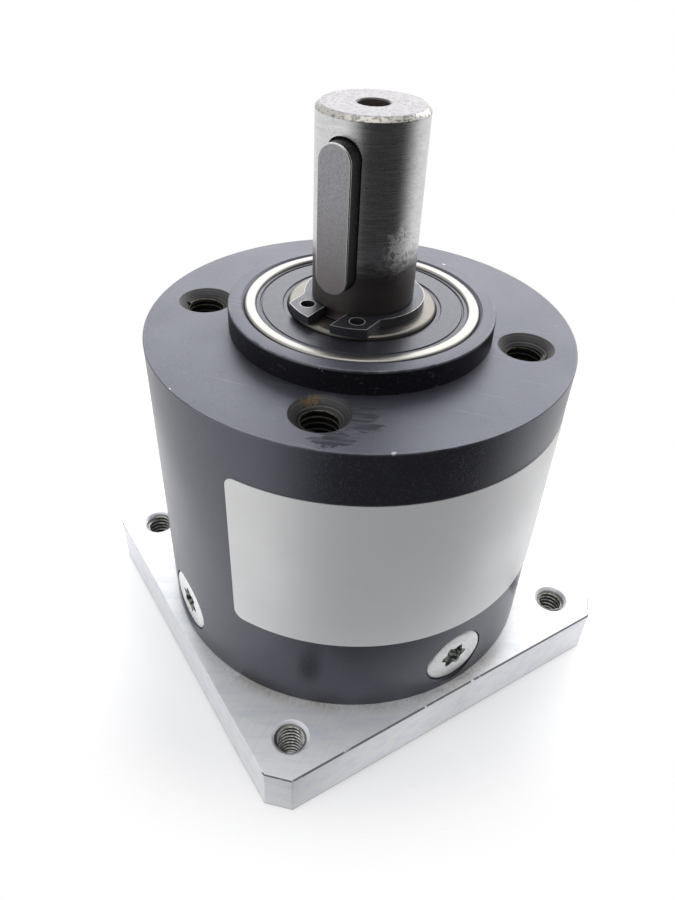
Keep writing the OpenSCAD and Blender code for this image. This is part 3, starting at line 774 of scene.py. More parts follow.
@finish("Hole metal")
def hole_metal(place, hole_at, crest, top, dark, light, rough=0.4, rust=None):
    """Countersinks and threads of the corner holes: dark walls with turned rings, and light crests near
    the top that are painted glints. In the aluminium plate the dark walls are painted shade.
    """
    x, y, z = place.split()
    far = (abs(x) - hole_at).join(abs(y) - hole_at, 0.0).length()
    tip = 1.0 - far.step(crest + 0.02 * MM, crest + 0.14 * MM)
    grain = place.noise(2500.0, 4.0, 0.7)
    # Painted glints: light crests near the hole's top.
    lit = tip * grain.step(0.35, 0.6) * z.step(top - 2.6 * MM, top - 1.4 * MM)
    rings = (far / 0.00016).noise(1.0).step(0.4, 0.7)
    # Dark walls: painted shade in the aluminium plate's holes, the black finish in the housing's.
    wall = rings.mix(dark, times(dark, 2.6))
    if rust:
        patch = place.effect(stain, centre=(-0.0138, -0.0118, top), reach=(0.0017, 0.0011, 0.0008),
                             ragged=0.8, grain=0.0003)
        wall = (patch * grain.scale(1.0, 0.5)).mix(wall, rust)
    return dict(Base_Color=lit.mix(wall, light), Roughness=grain.scale(rough, rough + 0.2),
                Metallic=0.7, Relief=(grain, 0.00001))


@finish("Machined metal")
def plain_steel(place, base, rough, pitch=0.0002, lines=0.15, spots=0.3,
                spot_colour=(0.3, 0.29, 0.28), metallic=1.0, stained=None):
    """Machined metal: turning lines, fine spots, a cloudy tone, and stains where asked."""
    turning = place.effect(turning_lines, pitch=pitch)
    dots = place.effect(specks, size=0.0002)
    tone = painted(turning.mix(times(base, 1 - lines), times(base, 1 + lines)),
                   (dots * spots, spot_colour))
    if stained:
        tone = painted(tone, (place.noise(420.0, 5.0, 0.7).step(0.5, 0.7) * 0.6, stained))
    cloud = place.noise(300.0, 4.0)
    return dict(Base_Color=tone, Metallic=metallic,
                Roughness=turning.scale(rough - 0.07, rough + 0.07) + cloud.scale(-0.05, 0.05),
                Relief=(turning + dots * -0.4, 0.000006))


@finish("Milled aluminium")
def milled_plate(place, size):
    """Milled aluminium with arcs of the face mill and dirt round the housing's foot; nicks and a
    painted reflection darken the front top edges, and painted shadow the bottom edge.
    """
    x, y, z = place.split()
    corner = (abs(x) + abs(y)) - (PLATE_HALF - size.corner)
    reach = abs(x).most(abs(y)).most(corner)
    side = reach.step(PLATE_HALF - 0.12 * MM, PLATE_HALF - 0.04 * MM)
    top_edge = (reach.step(PLATE_HALF - 0.24 * MM, PLATE_HALF - 0.14 * MM)
                * z.step(BODY_LOW - 0.26 * MM, BODY_LOW - 0.16 * MM))
    front_edges = (y * -1.0).step(PLATE_HALF - 3 * MM, PLATE_HALF - MM).most(
        corner.step(PLATE_HALF - 0.5 * MM, PLATE_HALF - 0.3 * MM))
    # Nicks and a painted reflection of the dark side along the front top edges.
    nicks_and_painted_reflection = front_edges * place.noise(350.0, 4.0, 0.7).step(0.30, 0.38)
    burr = place.noise(900.0, 3.0, 0.6).step(0.62, 0.68)
    arcs = place.effect(milling_arcs, centre=(0.07, -0.16, 0.007), pitch=0.00045)
    pattern = place.board.node("Mix", {0: side, 2: arcs, 3: place.noise(1800.0, 3.0)},
                               data_type="FLOAT")
    front = place.along((-0.5, -0.87, 0.0)).step(BODY_R * 0.5, BODY_R * 0.85)
    dirt = place.effect(foot_grime_and_shade, radius=BODY_R, spread=0.0021, grain=0.0004) * front
    streaks = wiped(place, 0.2).noise(700.0, 4.0, 0.6).step(0.42, 0.66)
    dots = place.effect(specks, cut=0.64)
    hair = place.effect(hairlines, turn=(0.0, 0.0, 0.5), length=0.008, width=0.0003, cut=0.7)
    tone = painted(
        pattern.mix(times(size.metal, 0.95), times(size.metal, 1.05)),
        (place.noise(90.0, 4.0).scale(0.0, 0.2), (0.74, 0.76, 0.82)),
        (streaks * 0.4, (0.72, 0.77, 0.88)),
        (dots * 0.25, (0.55, 0.54, 0.52)),
        (hair * 0.3, WHITE),
        # Dark front top edges: nicks and painted reflection.
        (top_edge * nicks_and_painted_reflection * 0.9, (0.08, 0.08, 0.09)),
        (top_edge * burr, WHITE),
        # Painted shadow: a dark line along the bottom edge, where the plate stands on the floor.
        ((1.0 - z.step(0.16 * MM, 0.4 * MM)) * 0.85, (0.07, 0.07, 0.075)),
        (dirt * 0.8, size.grime))
    return dict(Base_Color=tone, Roughness=pattern.scale(0.36, 0.46) + dirt * 0.3,
                Metallic=0.38 - dirt * 0.35, Relief=(pattern, 0.000007))


@finish("Ground shaft steel")
def ground_shaft(place, size):
    """Ground steel: fine lines round the shaft, a worn patch, a dark foot and a pitted end."""
    hole = size.centre_hole / 2
    lip_low = SHAFT_TOP - size.edge
    height, radius = place.split()[2], place.radius()
    turning = place.effect(turning_lines, pitch=0.00012)
    broad = place.effect(turning_lines, pitch=0.0005, waver=4.0)
    dots = place.effect(specks, size=0.00022)
    pits = place.effect(specks, size=0.0004, cut=0.54, softness=0.04)
    patch = place.effect(stain, centre=(0.0006, -0.0062, 0.0595), reach=(0.0019, 0.0022, 0.0032),
                         ragged=1.1, grain=0.0007)
    end = height.step(SHAFT_TOP - 0.09 * MM, SHAFT_TOP - 0.02 * MM)
    lip = height.step(lip_low - 0.12 * MM, lip_low)
    mouth = lip * (1.0 - radius.step(hole + 0.06 * MM, hole + 0.16 * MM))
    bore = mouth.most((1.0 - radius.step(hole + 0.1 * MM, hole + 0.3 * MM))
                      * height.step(CLIP_TOP, CLIP_TOP + MM))
    foot = 1.0 - height.step(CLIP_TOP + 2 * MM, CLIP_TOP + 9 * MM)
    ragged = (foot + broad.scale(-0.25, 0.25)).step(0.15, 0.75)
    tone = painted(
        turning.mix(times(size.steel, 0.56), times(size.steel, 1.26)),
        (broad.scale(0.0, 0.75), times(size.steel, 0.45)),
        (dots * 0.5, (0.20, 0.18, 0.18)),
        (patch * pits.scale(1.0, 0.1), WHITE),
        (ragged * 0.88, (0.066, 0.050, 0.044)),
        (end, (pits * 0.5).mix((0.27, 0.26, 0.275), (0.15, 0.14, 0.145))),
        (lip * (1.0 - end), pits.mix((0.48, 0.465, 0.43), (0.25, 0.23, 0.21))),
        (bore, (0.10, 0.078, 0.074)))
    rough = turning.scale(0.16, 0.40) + patch * 0.2 + end.most(foot) * 0.18
    return dict(Base_Color=tone, Roughness=rough, Metallic=1.0 - bore * 0.9,
                Relief=(turning + pits * patch.most(lip) * -1.5, 0.00001))


@finish("Drawn key steel")
def key_steel(place, size):
    """Drawn steel, mottled and warmer towards its foot."""
    dots = place.effect(specks, size=0.00016, cut=0.52, softness=0.15)
    cloud = place.noise(700.0, 4.0, 0.6)
    foot = 1.0 - place.split()[2].step(KEY_LOW, KEY_LOW + 12 * MM)
    tone = painted(
        (dots * 0.6).mix(size.key_steel, (0.17, 0.16, 0.16)),
        (cloud.scale(0.0, 0.6), (0.46, 0.45, 0.48)),
        (place.noise(3800.0, 3.0, 0.7).step(0.35, 0.65) * 0.3, (0.22, 0.21, 0.22)),
        (foot * 0.55, (0.24, 0.205, 0.20)))
    return dict(Base_Color=tone, Roughness=cloud.scale(0.42, 0.6), Metallic=1.0,
                Relief=(dots, 0.000008))


@finish("Seal rubber")
def seal_rubber(place, size):
    """Mottled rubber with moulded rings and dust."""
    mottle = place.noise(1500.0, 4.0, 0.7)
    turning = place.effect(turning_lines, pitch=0.0004)
    tone = painted(
        place.noise(250.0, 3.0).scale(0.0, 0.7).mix(size.seal, (0.026, 0.026, 0.033)),
        (place.effect(specks, cut=0.62) * 0.35, (0.10, 0.10, 0.11)))
    return dict(Base_Color=tone, Roughness=mottle.scale(0.26, 0.44), IOR=1.68,
                Specular_Tint=(0.80, 0.84, 1.0), Relief=(mottle + turning * 0.6, 0.00002))


@finish("Phosphated spring steel")
def phosphate(place, size):
    """Spring steel, grey black and finely spotted."""
    dots = place.effect(specks, size=0.0002, cut=0.56)
    cloud = place.noise(500.0, 3.0)
    tone = painted((dots * 0.5).mix(size.black, (0.06, 0.06, 0.07)),
                   (cloud.scale(0.0, 0.5), (0.035, 0.035, 0.042)))
    return dict(Base_Color=tone, Roughness=cloud.scale(0.30, 0.44), IOR=1.75,
                Specular_Tint=(0.80, 0.84, 1.0), Relief=(dots, 0.00001))


@finish("Zinc plate")
def zinc_plate(place, size):
    """Plated steel with grey stains."""
    grain = place.noise(2600.0, 3.0, 0.6)
    dots = place.effect(specks, size=0.00028, cut=0.55, softness=0.1)
    tone = painted(
        (dots * 0.6).mix(size.zinc, (0.34, 0.36, 0.34)),
        (place.noise(900.0, 4.0, 0.7).step(0.54, 0.66) * 0.45, (0.42, 0.46, 0.43)),
        (place.noise(420.0, 3.0).scale(0.0, 0.5), (0.90, 0.92, 0.92)))
    return dict(Base_Color=tone, Roughness=grain.scale(0.30, 0.5), Metallic=1.0,
                Relief=(grain, 0.000014))


@finish("Drive recess")
def drive_recess(place):
    """The inside of a screw's drive: painted shade, with bright patches that are painted glints."""
    grain = place.noise(1700.0, 3.0, 0.7)
    # Painted shade, broken by painted glints.
    tone = grain.step(0.44, 0.60).mix((0.035, 0.042, 0.03), (0.80, 0.84, 0.76))
    return dict(Base_Color=tone, Roughness=grain.scale(0.35, 0.55), Metallic=0.4,
                Relief=(grain, 0.00003))


@finish("Silver label foil")
def silver_foil(place, size):
    """Bare foil: satin, faintly rippled and specked."""
    dots = place.effect(specks, size=0.00028, cut=0.60, softness=0.12)
    cloud = place.noise(140.0, 4.0)
    ripple = (place * (1.0, 1.0, 0.12)).noise(520.0, 3.0)
    tone = painted(cloud.scale(0.0, 0.5).mix(size.foil, (0.70, 0.70, 0.70)),
                   (dots * 0.12, (0.48, 0.48, 0.48)))
    return dict(Base_Color=tone, Roughness=cloud.scale(0.36, 0.48), Metallic=0.4, IOR=1.5,
                Relief=(place.noise(3500.0) * 0.25 + ripple, 0.00001))

# ---------------------------------------------------------------- pieces


class ReducerPiece(bpy.types.Operator):
    """What the operators share: each makes its pieces, or raises an error"""
    bl_idname = "reducer.piece"
    bl_label = "Piece"
    bl_options = {"REGISTER", "UNDO"}

    def execute(self, context):
        self.make(context.scene)
        return {"FINISHED"}

    def make(self, scene):
        raise NotImplementedError


class MakeHousing(ReducerPiece):
    """Turns the housing, drills the flange and sinks the seats of the radial screws"""
    bl_idname = "reducer.make_housing"
    bl_label = "Housing"

    def make(self, scene):
        size, screws = scene.reducer_housing, scene.reducer_screws
        flange = PILOT_TOP - size.flange_step
        lead, web = size.seat_lead, size.web_hole / 2
        chamber, chamber_top = RING_R - size.chamber_rim, REAR_BEARING_LOW - 0.2 * MM
        body = lathe("housing_body", [
            (RING_R + lead, BODY_LOW), (BODY_R, BODY_LOW), (BODY_R, flange), (PILOT_R, flange),
            (PILOT_R, PILOT_TOP), (BEARING_R + lead, PILOT_TOP), (BEARING_R, PILOT_TOP - lead),
            (BEARING_R, BEARING_LOW), (web, BEARING_LOW), (web, REAR_BEARING_TOP),
            (BEARING_R, REAR_BEARING_TOP), (BEARING_R, chamber_top), (chamber, chamber_top),
            (chamber, RING_TOP), (RING_R, RING_TOP), (RING_R, BODY_LOW + lead)], steps=192)
        for radius, height in ((BODY_R, flange), (BODY_R, BODY_LOW), (RING_R + lead, BODY_LOW)):
            rim(body, size.edge, radius, height)
        rim(body, size.pilot_edge, PILOT_R, PILOT_TOP, 2)
        coat = black_coat(size)
        made_of(body, coat)
        at, crest = FLANGE_HOLE_R / math.sqrt(2), mount_size("output_flange_holes", "hole_r_mm")
        # Painted glints where the countersink meets the thread.
        sunk = hole_metal(at, crest, flange, (0.040, 0.038, 0.040), (0.1, 0.1, 0.1), 0.45, size.rust,
                          name="Cut countersink with painted glints")
        hole = drilled("hole", size.sink, size.thread, size.thread_depth, 0.12 * MM,
                       crest + 0.08 * MM)
        put(made_of(hole, sunk), moved(FLANGE_HOLE_R, 0, flange), turned(TURN / 8))
        cut_round(body, hole, 4)
        seat_r, depth = HEAD_R + size.head_room, BODY_R - HEAD_FACE
        shank, out, deep = screws.thread / 2 + 0.2 * MM, 4 * MM, 8 * MM
        rim_foot = -depth - screws.rim
        seat = lathe("seat", [(0, out), (seat_r + depth + out, out), (seat_r, -depth),
                              (seat_r, rim_foot), (shank, rim_foot - seat_r + shank),
                              (shank, -deep), (0, -deep)], False, 96)
        put(made_of(seat, coat), turned(TURN / 4, "Y"), moved(BODY_R, 0, HEAD_Z), turned(-TURN / 4))
        cut_round(body, seat, screws.count)
        # Painted shade: a copy of the coat that reflects less, for the pilot's wall.
        shaded = black_coat(size, 1.35, name="Black coat of the pilot's wall")
        coated(body, shaded, lambda place, way: place.z > flange and abs(way.z) < 0.1
               and near(place.xy.length, PILOT_R))
        finished(body, "root", "blackened_steel", [coat, sunk, shaded], "housing")
        # Painted glints on the thread crests near the flange.
        tapped = hole_metal(at, crest, flange, (0.012, 0.011, 0.009), (0.15, 0.14, 0.09),
                            name="Tapped steel with painted glints")
        profile = (crest, size.thread / 2, size.pitch, flange - size.thread_depth + 0.5 * MM,
                   flange - (size.sink / 2 - crest) - 0.35 * MM)
        corner_threads("flange_thread", profile, [moved(FLANGE_HOLE_R), turned(TURN / 8)],
                       "blackened_steel", tapped)


class MakeMotorPlate(ReducerPiece):
    """Mills the square motor plate with its spigot, pilot recess and tapped corner holes"""
    bl_idname = "reducer.make_motor_plate"
    bl_label = "Motor plate"

    def make(self, scene):
        size, screws = scene.reducer_plate, scene.reducer_screws
        wide, cavity, metal = 2 * PLATE_HALF, size.cavity / 2, milled_plate(size)
        plate = block("motor_plate", (wide, wide, BODY_LOW), (0, 0, BODY_LOW / 2))
        bevel(plate, lambda place, way: abs(way.z) > 0.9, size.corner, 1)
        rounded(plate, size.edge, 2)
        cut(plate, disc("spigot", RING_R - 0.02 * MM, BODY_LOW / 2, SPIGOT_TOP, 192), "UNION")
        stop, narrow = INPUT_BEARING_LOW - size.shoulder, INPUT_BEARING_R - size.lip
        above = SPIGOT_TOP + MM
        bore = lathe("bore", [
            (0, -MM), (MOTOR_PILOT_R, -MM), (MOTOR_PILOT_R, size.pilot_depth),
            (cavity, size.pilot_depth), (cavity, stop), (narrow, stop), (narrow, INPUT_BEARING_LOW),
            (INPUT_BEARING_R, INPUT_BEARING_LOW), (INPUT_BEARING_R, above), (0, above)], False, 192)
        cut(made_of(plate, metal), made_of(bore, metal))
        hole = made_of(drilled("hole", size.sink, size.thread, BODY_LOW + MM, 0.1 * MM), metal)
        cut_round(plate, put(hole, moved(MOTOR_HOLE, MOTOR_HOLE, BODY_LOW)), 4)
        cross = made_of(disc("cross", screws.thread / 2, 0, BODY_R, 48), metal)
        put(cross, turned(TURN / 4, "Y"), moved(z=HEAD_Z), turned(-TURN / 4))
        cut_round(plate, cross, screws.count)
        clamp = (low("clamp_screw") + high("clamp_screw")) / 2
        way = made_of(disc("way", size.key_hole / 2, 0, wide, 48), metal)
        cut(plate, put(way, turned(-TURN / 4, "X"), moved(clamp.x, 0, clamp.z)))
        finished(plate, "root", "milled_aluminium", [metal], "motor_adapter")
        crest = mount_size("motor_holes", "hole_r_mm")
        profile = (crest, size.thread / 2, size.pitch, 0.1 * MM,
                   BODY_LOW - (size.sink - size.thread) / 2)
        # Painted shade on the threads' dark walls, painted glints on their light crests.
        tapped = hole_metal(MOTOR_HOLE, crest, 0.0, (0.10, 0.10, 0.09), (0.82, 0.81, 0.78), 0.25,
                            name="Tapped aluminium")
        corner_threads("plate_thread", profile, [moved(MOTOR_HOLE, MOTOR_HOLE)],
                       "milled_aluminium", tapped)


class MakeRadialScrews(ReducerPiece):
    """Makes one countersunk screw with a six-lobe drive and copies it round the housing"""
    bl_idname = "reducer.make_radial_screws"
    bl_label = "Radial screws"

    def make(self, scene):
        size = scene.reducer_screws
        shank, crown, end, tip = size.thread / 2, size.crown, -size.over_all, 0.4 * MM
        screw = lathe("screw", [
            (0, 0), (HEAD_R - 2.5 * crown, 0), (HEAD_R - crown / 2, -crown / 2), (HEAD_R, -crown),
            (HEAD_R, -size.rim), (shank, -size.rim - (HEAD_R - shank)), (shank, end + tip),
            (shank - tip, end), (0, end)], False, 96)
        finishes = [zinc_plate(size), drive_recess()]
        cut(made_of(screw, finishes[0]), made_of(self.drive(size), finishes[1]))
        put(screw, turned(TURN / 4, "Y"), moved(HEAD_FACE, 0, HEAD_Z))
        screws = []
        for number in range(size.count):
            tightened = 0.5 + 1.3 * number
            screws.append(put(copy_of(screw, f"radial_screw_{number + 1}"), moved(z=-HEAD_Z),
                              turned(tightened, "X"), moved(z=HEAD_Z),
                              turned(TURN * (number / size.count - 1 / 4))))
        bpy.data.objects.remove(screw)
        for one in screws[1:]:
            finished(one, "root", "zinc_screw", finishes)
        finished(screws[0], "root", "zinc_screw", finishes, "radial_screws")

    @staticmethod
    def drive(size):
        """The tool for the drive: a round, drawn in between its six lobes and pushed down."""
        steps, lobe, valley = 6, TURN / 6, 0.14
        drive = started("drive", bpy.ops.mesh.primitive_circle_add, vertices=12 * steps,
                        radius=size.drive / 2, fill_type="NGON")
        for step in range(steps + 1):
            away = lobe / 2 * step / steps
            edit(drive, "VERT", lambda at: abs(abs((math.atan2(at.y, at.x) + 12.5 * lobe) % lobe
                                                   - lobe / 2) - away) < 0.01)
            grow = 1 - valley + valley * math.cos(6 * away)
            bpy.ops.transform.resize(value=(grow, grow, 1))
        edit(drive, "FACE")
        bpy.ops.mesh.extrude_region_move(TRANSFORM_OT_translate={"value": (0, 0, -size.drive_depth)})
        bpy.ops.mesh.inset(thickness=size.drive * 0.06)
        bpy.ops.transform.translate(value=(0, 0, -0.25 * MM))
        bpy.ops.mesh.select_all(action="SELECT")
        bpy.ops.mesh.normals_make_consistent(inside=False)
        edit(drive, "FACE", lambda place, way: way.z > 0.9)
        bpy.ops.transform.translate(value=(0, 0, MM))
        return take(drive)


class MakeLabel(ReducerPiece):
    """Cuts the bare foil label, rounds its corners and wraps it round the housing"""
    bl_idname = "reducer.make_label"
    bl_label = "Label"

    def make(self, scene):
        size = scene.reducer_label
        outer, sweep = BODY_R + size.outside, size.end - size.start
        wide, tall = outer * sweep, LABEL_TOP - LABEL_LOW
        label = started("label_foil", bpy.ops.mesh.primitive_plane_add, size=1)
        bpy.ops.transform.resize(value=(wide, tall, 1))
        bpy.ops.mesh.bevel(offset=size.corner, segments=8, affect="VERTICES")
        columns = 110
        for number in range(1, columns):
            bpy.ops.mesh.select_all(action="SELECT")
            bpy.ops.mesh.bisect(plane_co=(wide * (number / columns - 0.5), 0, 0),
                                plane_no=(1, 0, 0))
        put(label, turned(TURN / 4, "X"))
        modify(label, "SIMPLE_DEFORM", deform_method="BEND", deform_axis="Z", angle=sweep)
        put(label, moved(0, -outer, (LABEL_LOW + LABEL_TOP) / 2),
            turned((size.start + size.end) / 2 + TURN / 4))
        edit(label)
        bpy.ops.mesh.normals_make_consistent(inside=False)
        take(label)
        if sum(face.normal.xy.dot(face.center.xy) * face.area for face in label.data.polygons) < 0:
            edit(label, "FACE")
            bpy.ops.mesh.flip_normals()
        modify(label, "SOLIDIFY", thickness=size.thickness, offset=-1.0, use_even_offset=True)
        finished(label, "root", "label_foil", [silver_foil(size)], "label")


def race(centre, ball, side):
    """Points of the ball race, up its side: -1 for the inner ring, 1 for the outer ring."""
    middle = (BEARING_LOW + PILOT_TOP) / 2
    half = math.acos(min(1.0, abs(LAND_R - centre) / ball))
    return [(centre + side * ball * math.cos(half * t / 6), middle + ball * math.sin(half * t / 6))
            for t in range(-6, 7)]


def ring_steel(size):
    return plain_steel(size.ring, 0.33, 0.00015, 0.12, name="Ground bearing steel")


class MakeFrontBearing(ReducerPiece):
    """Grinds the output bearing's rings and moulds its two seals"""
    bl_idname = "reducer.make_front_bearing"
    bl_label = "Front bearing"

    def make(self, scene):
        size = scene.reducer_bearing
        bottom, top, back = BEARING_LOW, PILOT_TOP, size.seal_back
        centre, bore = (SHAFT_R + BEARING_R) / 2, SHAFT_R + 0.02 * MM
        ball, land = size.ball / 2 + size.race_gap, 2 * centre - LAND_R
        outer = lathe("bearing_outer_ring", [
            (SEAL_R, bottom), (BEARING_R, bottom), (BEARING_R, top), (SEAL_R, top),
            (SEAL_R, top - back), (land, top - back), *race(centre, ball, 1)[::-1],
            (land, bottom + back), (SEAL_R, bottom + back)], steps=192)
        rounded(outer, size.edge)
        finished(outer, "root", "bearing_steel", [ring_steel(size)], "front_bearing_outer_ring")
        inner = lathe("bearing_inner_ring", [
            (bore, bottom), (LAND_R, bottom), *race(centre, ball, -1), (LAND_R, top), (bore, top)],
            steps=192)
        rounded(inner, size.edge * 1.4)
        worn = plain_steel(size.worn, 0.36, 0.0002, 0.25, 0.5, stained=(0.20, 0.16, 0.11),
                           name="Worn bearing steel")
        finished(inner, "output", "bearing_steel", [worn], "front_bearing_inner_ring")
        inside, outside, face = LAND_R + 0.05 * MM, SEAL_R - 0.02 * MM, size.seal_depth
        profile = [(outside, back), (inside, back)]
        profile[1:1] = [(edge + across * MM, face + down * MM) for edge, across, down in (
            (outside, 0, 0.05), (outside, -0.12, 0), (outside, -0.42, 0), (outside, -0.5, 0.16),
            (outside, -0.62, 0.16), (outside, -0.72, 0.02), (inside, 0.62, 0.05),
            (inside, 0.52, 0.2), (inside, 0.1, 0.22), (inside, 0, 0.32))]
        rubber = seal_rubber(size)
        upper = lathe("bearing_seal_front", [(r, top - depth) for r, depth in profile], steps=192)
        lower = lathe("bearing_seal_back", [(r, bottom + depth) for r, depth in profile], steps=192)
        finished(upper, "root", "seal_rubber", [rubber], "front_bearing_seals")
        finished(lower, "root", "seal_rubber", [rubber])


class MakeShaft(ReducerPiece):
    """Turns the output shaft, mills its keyway and fits the round-ended key"""
    bl_idname = "reducer.make_shaft"
    bl_label = "Output shaft and key"

    def make(self, scene):
        size = scene.reducer_shaft
        edge, hole, lip = size.edge, size.centre_hole / 2, 0.15 * MM
        neck, groove_top = SHAFT_R - size.groove, CLIP_TOP + 0.1 * MM
        hole_low = SHAFT_TOP - size.centre_depth
        shaft = lathe("output_shaft_turned", [
            (0, SHAFT_LOW), (SHAFT_R - edge, SHAFT_LOW), (SHAFT_R, SHAFT_LOW + edge),
            (SHAFT_R, CLIP_LOW), (neck, CLIP_LOW), (neck, groove_top), (SHAFT_R, groove_top),
            (SHAFT_R, SHAFT_TOP - edge), (SHAFT_R - edge, SHAFT_TOP), (hole + lip, SHAFT_TOP),
            (hole, SHAFT_TOP - lip), (hole, hole_low), (0, hole_low - hole * 0.6)], False, 144)
        rounded(shaft, 0.05 * MM, 2)
        steel = ground_shaft(size)
        seat, room = SHAFT_R - size.key_seat, size.key_room
        way = self.key_block("keyway", size.key_width + 2 * room, seat, SHAFT_R + MM,
                             KEY_LOW - room / 2, KEY_TOP + 2 * room)
        cut(made_of(shaft, steel), put(made_of(way, steel), turned(size.key_turn)))
        finished(shaft, "output", "shaft_steel", [steel], "output_shaft")
        key = self.key_block("key", size.key_width, seat, seat + size.key_height, KEY_LOW, KEY_TOP)
        # Painted highlight: the key's rounded edges are coloured lighter than the key.
        bright = plain_steel((0.62, 0.61, 0.61), 0.3, 0.0003, 0.2, name="Bright edge")
        # The key's sides are coloured much darker than its outer face.
        dark = plain_steel(size.key_side, 0.4, 0.0003, 0.3, metallic=0.6, name="Dark key side")
        coated(made_of(key, key_steel(size), bright), dark, lambda place, way: abs(way.x) < 0.5)
        rounded(key, size.key_edge, 3, 40, material=1)
        finished(put(key, turned(size.key_turn)), "output", "key_steel",
                 list(key.data.materials), "shaft_key")

    @staticmethod
    def key_block(name, wide, inner, outer, bottom, top):
        """A round-ended block that lies along the shaft."""
        piece = block(name, (outer - inner, wide, top - bottom),
                      ((inner + outer) / 2, 0, (bottom + top) / 2))
        return bevel(piece, lambda place, way: abs(way.x) > 0.9, wide / 2 - 0.01 * MM, 14)


class MakeCirclip(ReducerPiece):
    """Stamps the external circlip with its two lugs and plier holes"""
    bl_idname = "reducer.make_circlip"
    bl_label = "Shaft circlip"

    def make(self, scene):
        def punch(name, radius, steps=144):
            return disc(name, radius, -MM, 2 * MM, steps)

        size = scene.reducer_clip
        thick = CLIP_TOP - CLIP_LOW
        inner, reach = SHAFT_R - scene.reducer_shaft.groove, SHAFT_R + size.reach
        outer = inner + size.band - size.shift
        lug_y = (size.mouth + size.lug) / 2
        edge_y = lug_y + size.lug / 2
        far_y = edge_y + size.fillet
        web_y = far_y * outer / (outer + size.fillet)
        fillet_x = math.sqrt((outer + size.fillet) ** 2 - far_y ** 2) - size.shift
        eye_x = math.sqrt((SHAFT_R + size.reach * 0.4) ** 2 - lug_y ** 2)
        clip = put(disc("circlip_ring", outer, 0, thick), moved(x=-size.shift))
        for side in (-1, 1):
            lug = block("lug", (reach, size.lug, thick), (reach / 2, side * lug_y, thick / 2))
            cut(clip, cut(lug, punch("round", reach), "INTERSECT"), "UNION")
            web = block("web", (0.8 * MM, web_y - edge_y + 0.2 * MM, thick), (
                fillet_x - 0.4 * MM, side * ((web_y + edge_y) / 2 - 0.1 * MM), thick / 2))
            cut(clip, web, "UNION")
            cut(clip, put(punch("fillet", size.fillet, 64), moved(fillet_x, side * far_y)))
        cut(clip, punch("inside", inner))
        cut(clip, block("mouth", (2 * reach, size.mouth, 4 * MM), (reach, 0, 0)))
        for side in (-1, 1):
            cut(clip, put(punch("eye", size.eye / 2, 40), moved(eye_x, side * lug_y)))
        bevel(clip, lambda place, way: abs(way.z) > 0.9 and place.x > 0.8 * reach
              and near(abs(place.y), edge_y), size.corner, 4)
        finishes = [phosphate(size), plain_steel((0.62, 0.61, 0.60), 0.4, 0.0003, 0.2, 0.4,
                                                 metallic=0.3, name="Worn clip edge with painted highlight")]
        made_of(clip, *finishes)
        # The light line along the upper edges: wear and a painted highlight.
        edit(clip, "FACE", lambda place, way: way.z > 0.99 and place.z > 0.9 * thick)
        assign(clip, 1)
        bpy.ops.mesh.quads_convert_to_tris()
        bpy.ops.mesh.inset(thickness=size.bright, use_even_offset=True)
        assign(clip, 0)
        put(clip, moved(z=CLIP_LOW), turned(size.turn))
        finished(clip, "output", "spring_steel", finishes, "shaft_circlip")


class DressInside(ReducerPiece):
    """Gives the gears, bearings and clamp parts inside their metals"""
    bl_idname = "reducer.dress_inside"
    bl_label = "Inner parts"

    def make(self, scene):
        finishes = {
            "gear_steel": plain_steel((0.40, 0.39, 0.38), 0.34, 0.00025, 0.2, 0.4,
                                      name="Hardened gear steel"),
            "bearing_steel": ring_steel(scene.reducer_bearing),
            "seal_rubber": seal_rubber(scene.reducer_bearing),
            "washer_bronze": plain_steel((0.60, 0.42, 0.20), 0.36, 0.0003, 0.2, 0.5,
                                         (0.28, 0.17, 0.08), name="Washer bronze"),
            "clamp_steel": plain_steel((0.46, 0.46, 0.47), 0.32, 0.0002, 0.25, 0.4,
                                       name="Turned clamp steel"),
            "spring_steel": phosphate(scene.reducer_clip),
        }
        for part in frame["record"]["subparts"]:
            material = finishes.get(part["material_slot"])
            if material:
                for place in frame["nodes"][part["node"]].material_slots:
                    place.material = material

# ---------------------------------------------------------------- stage


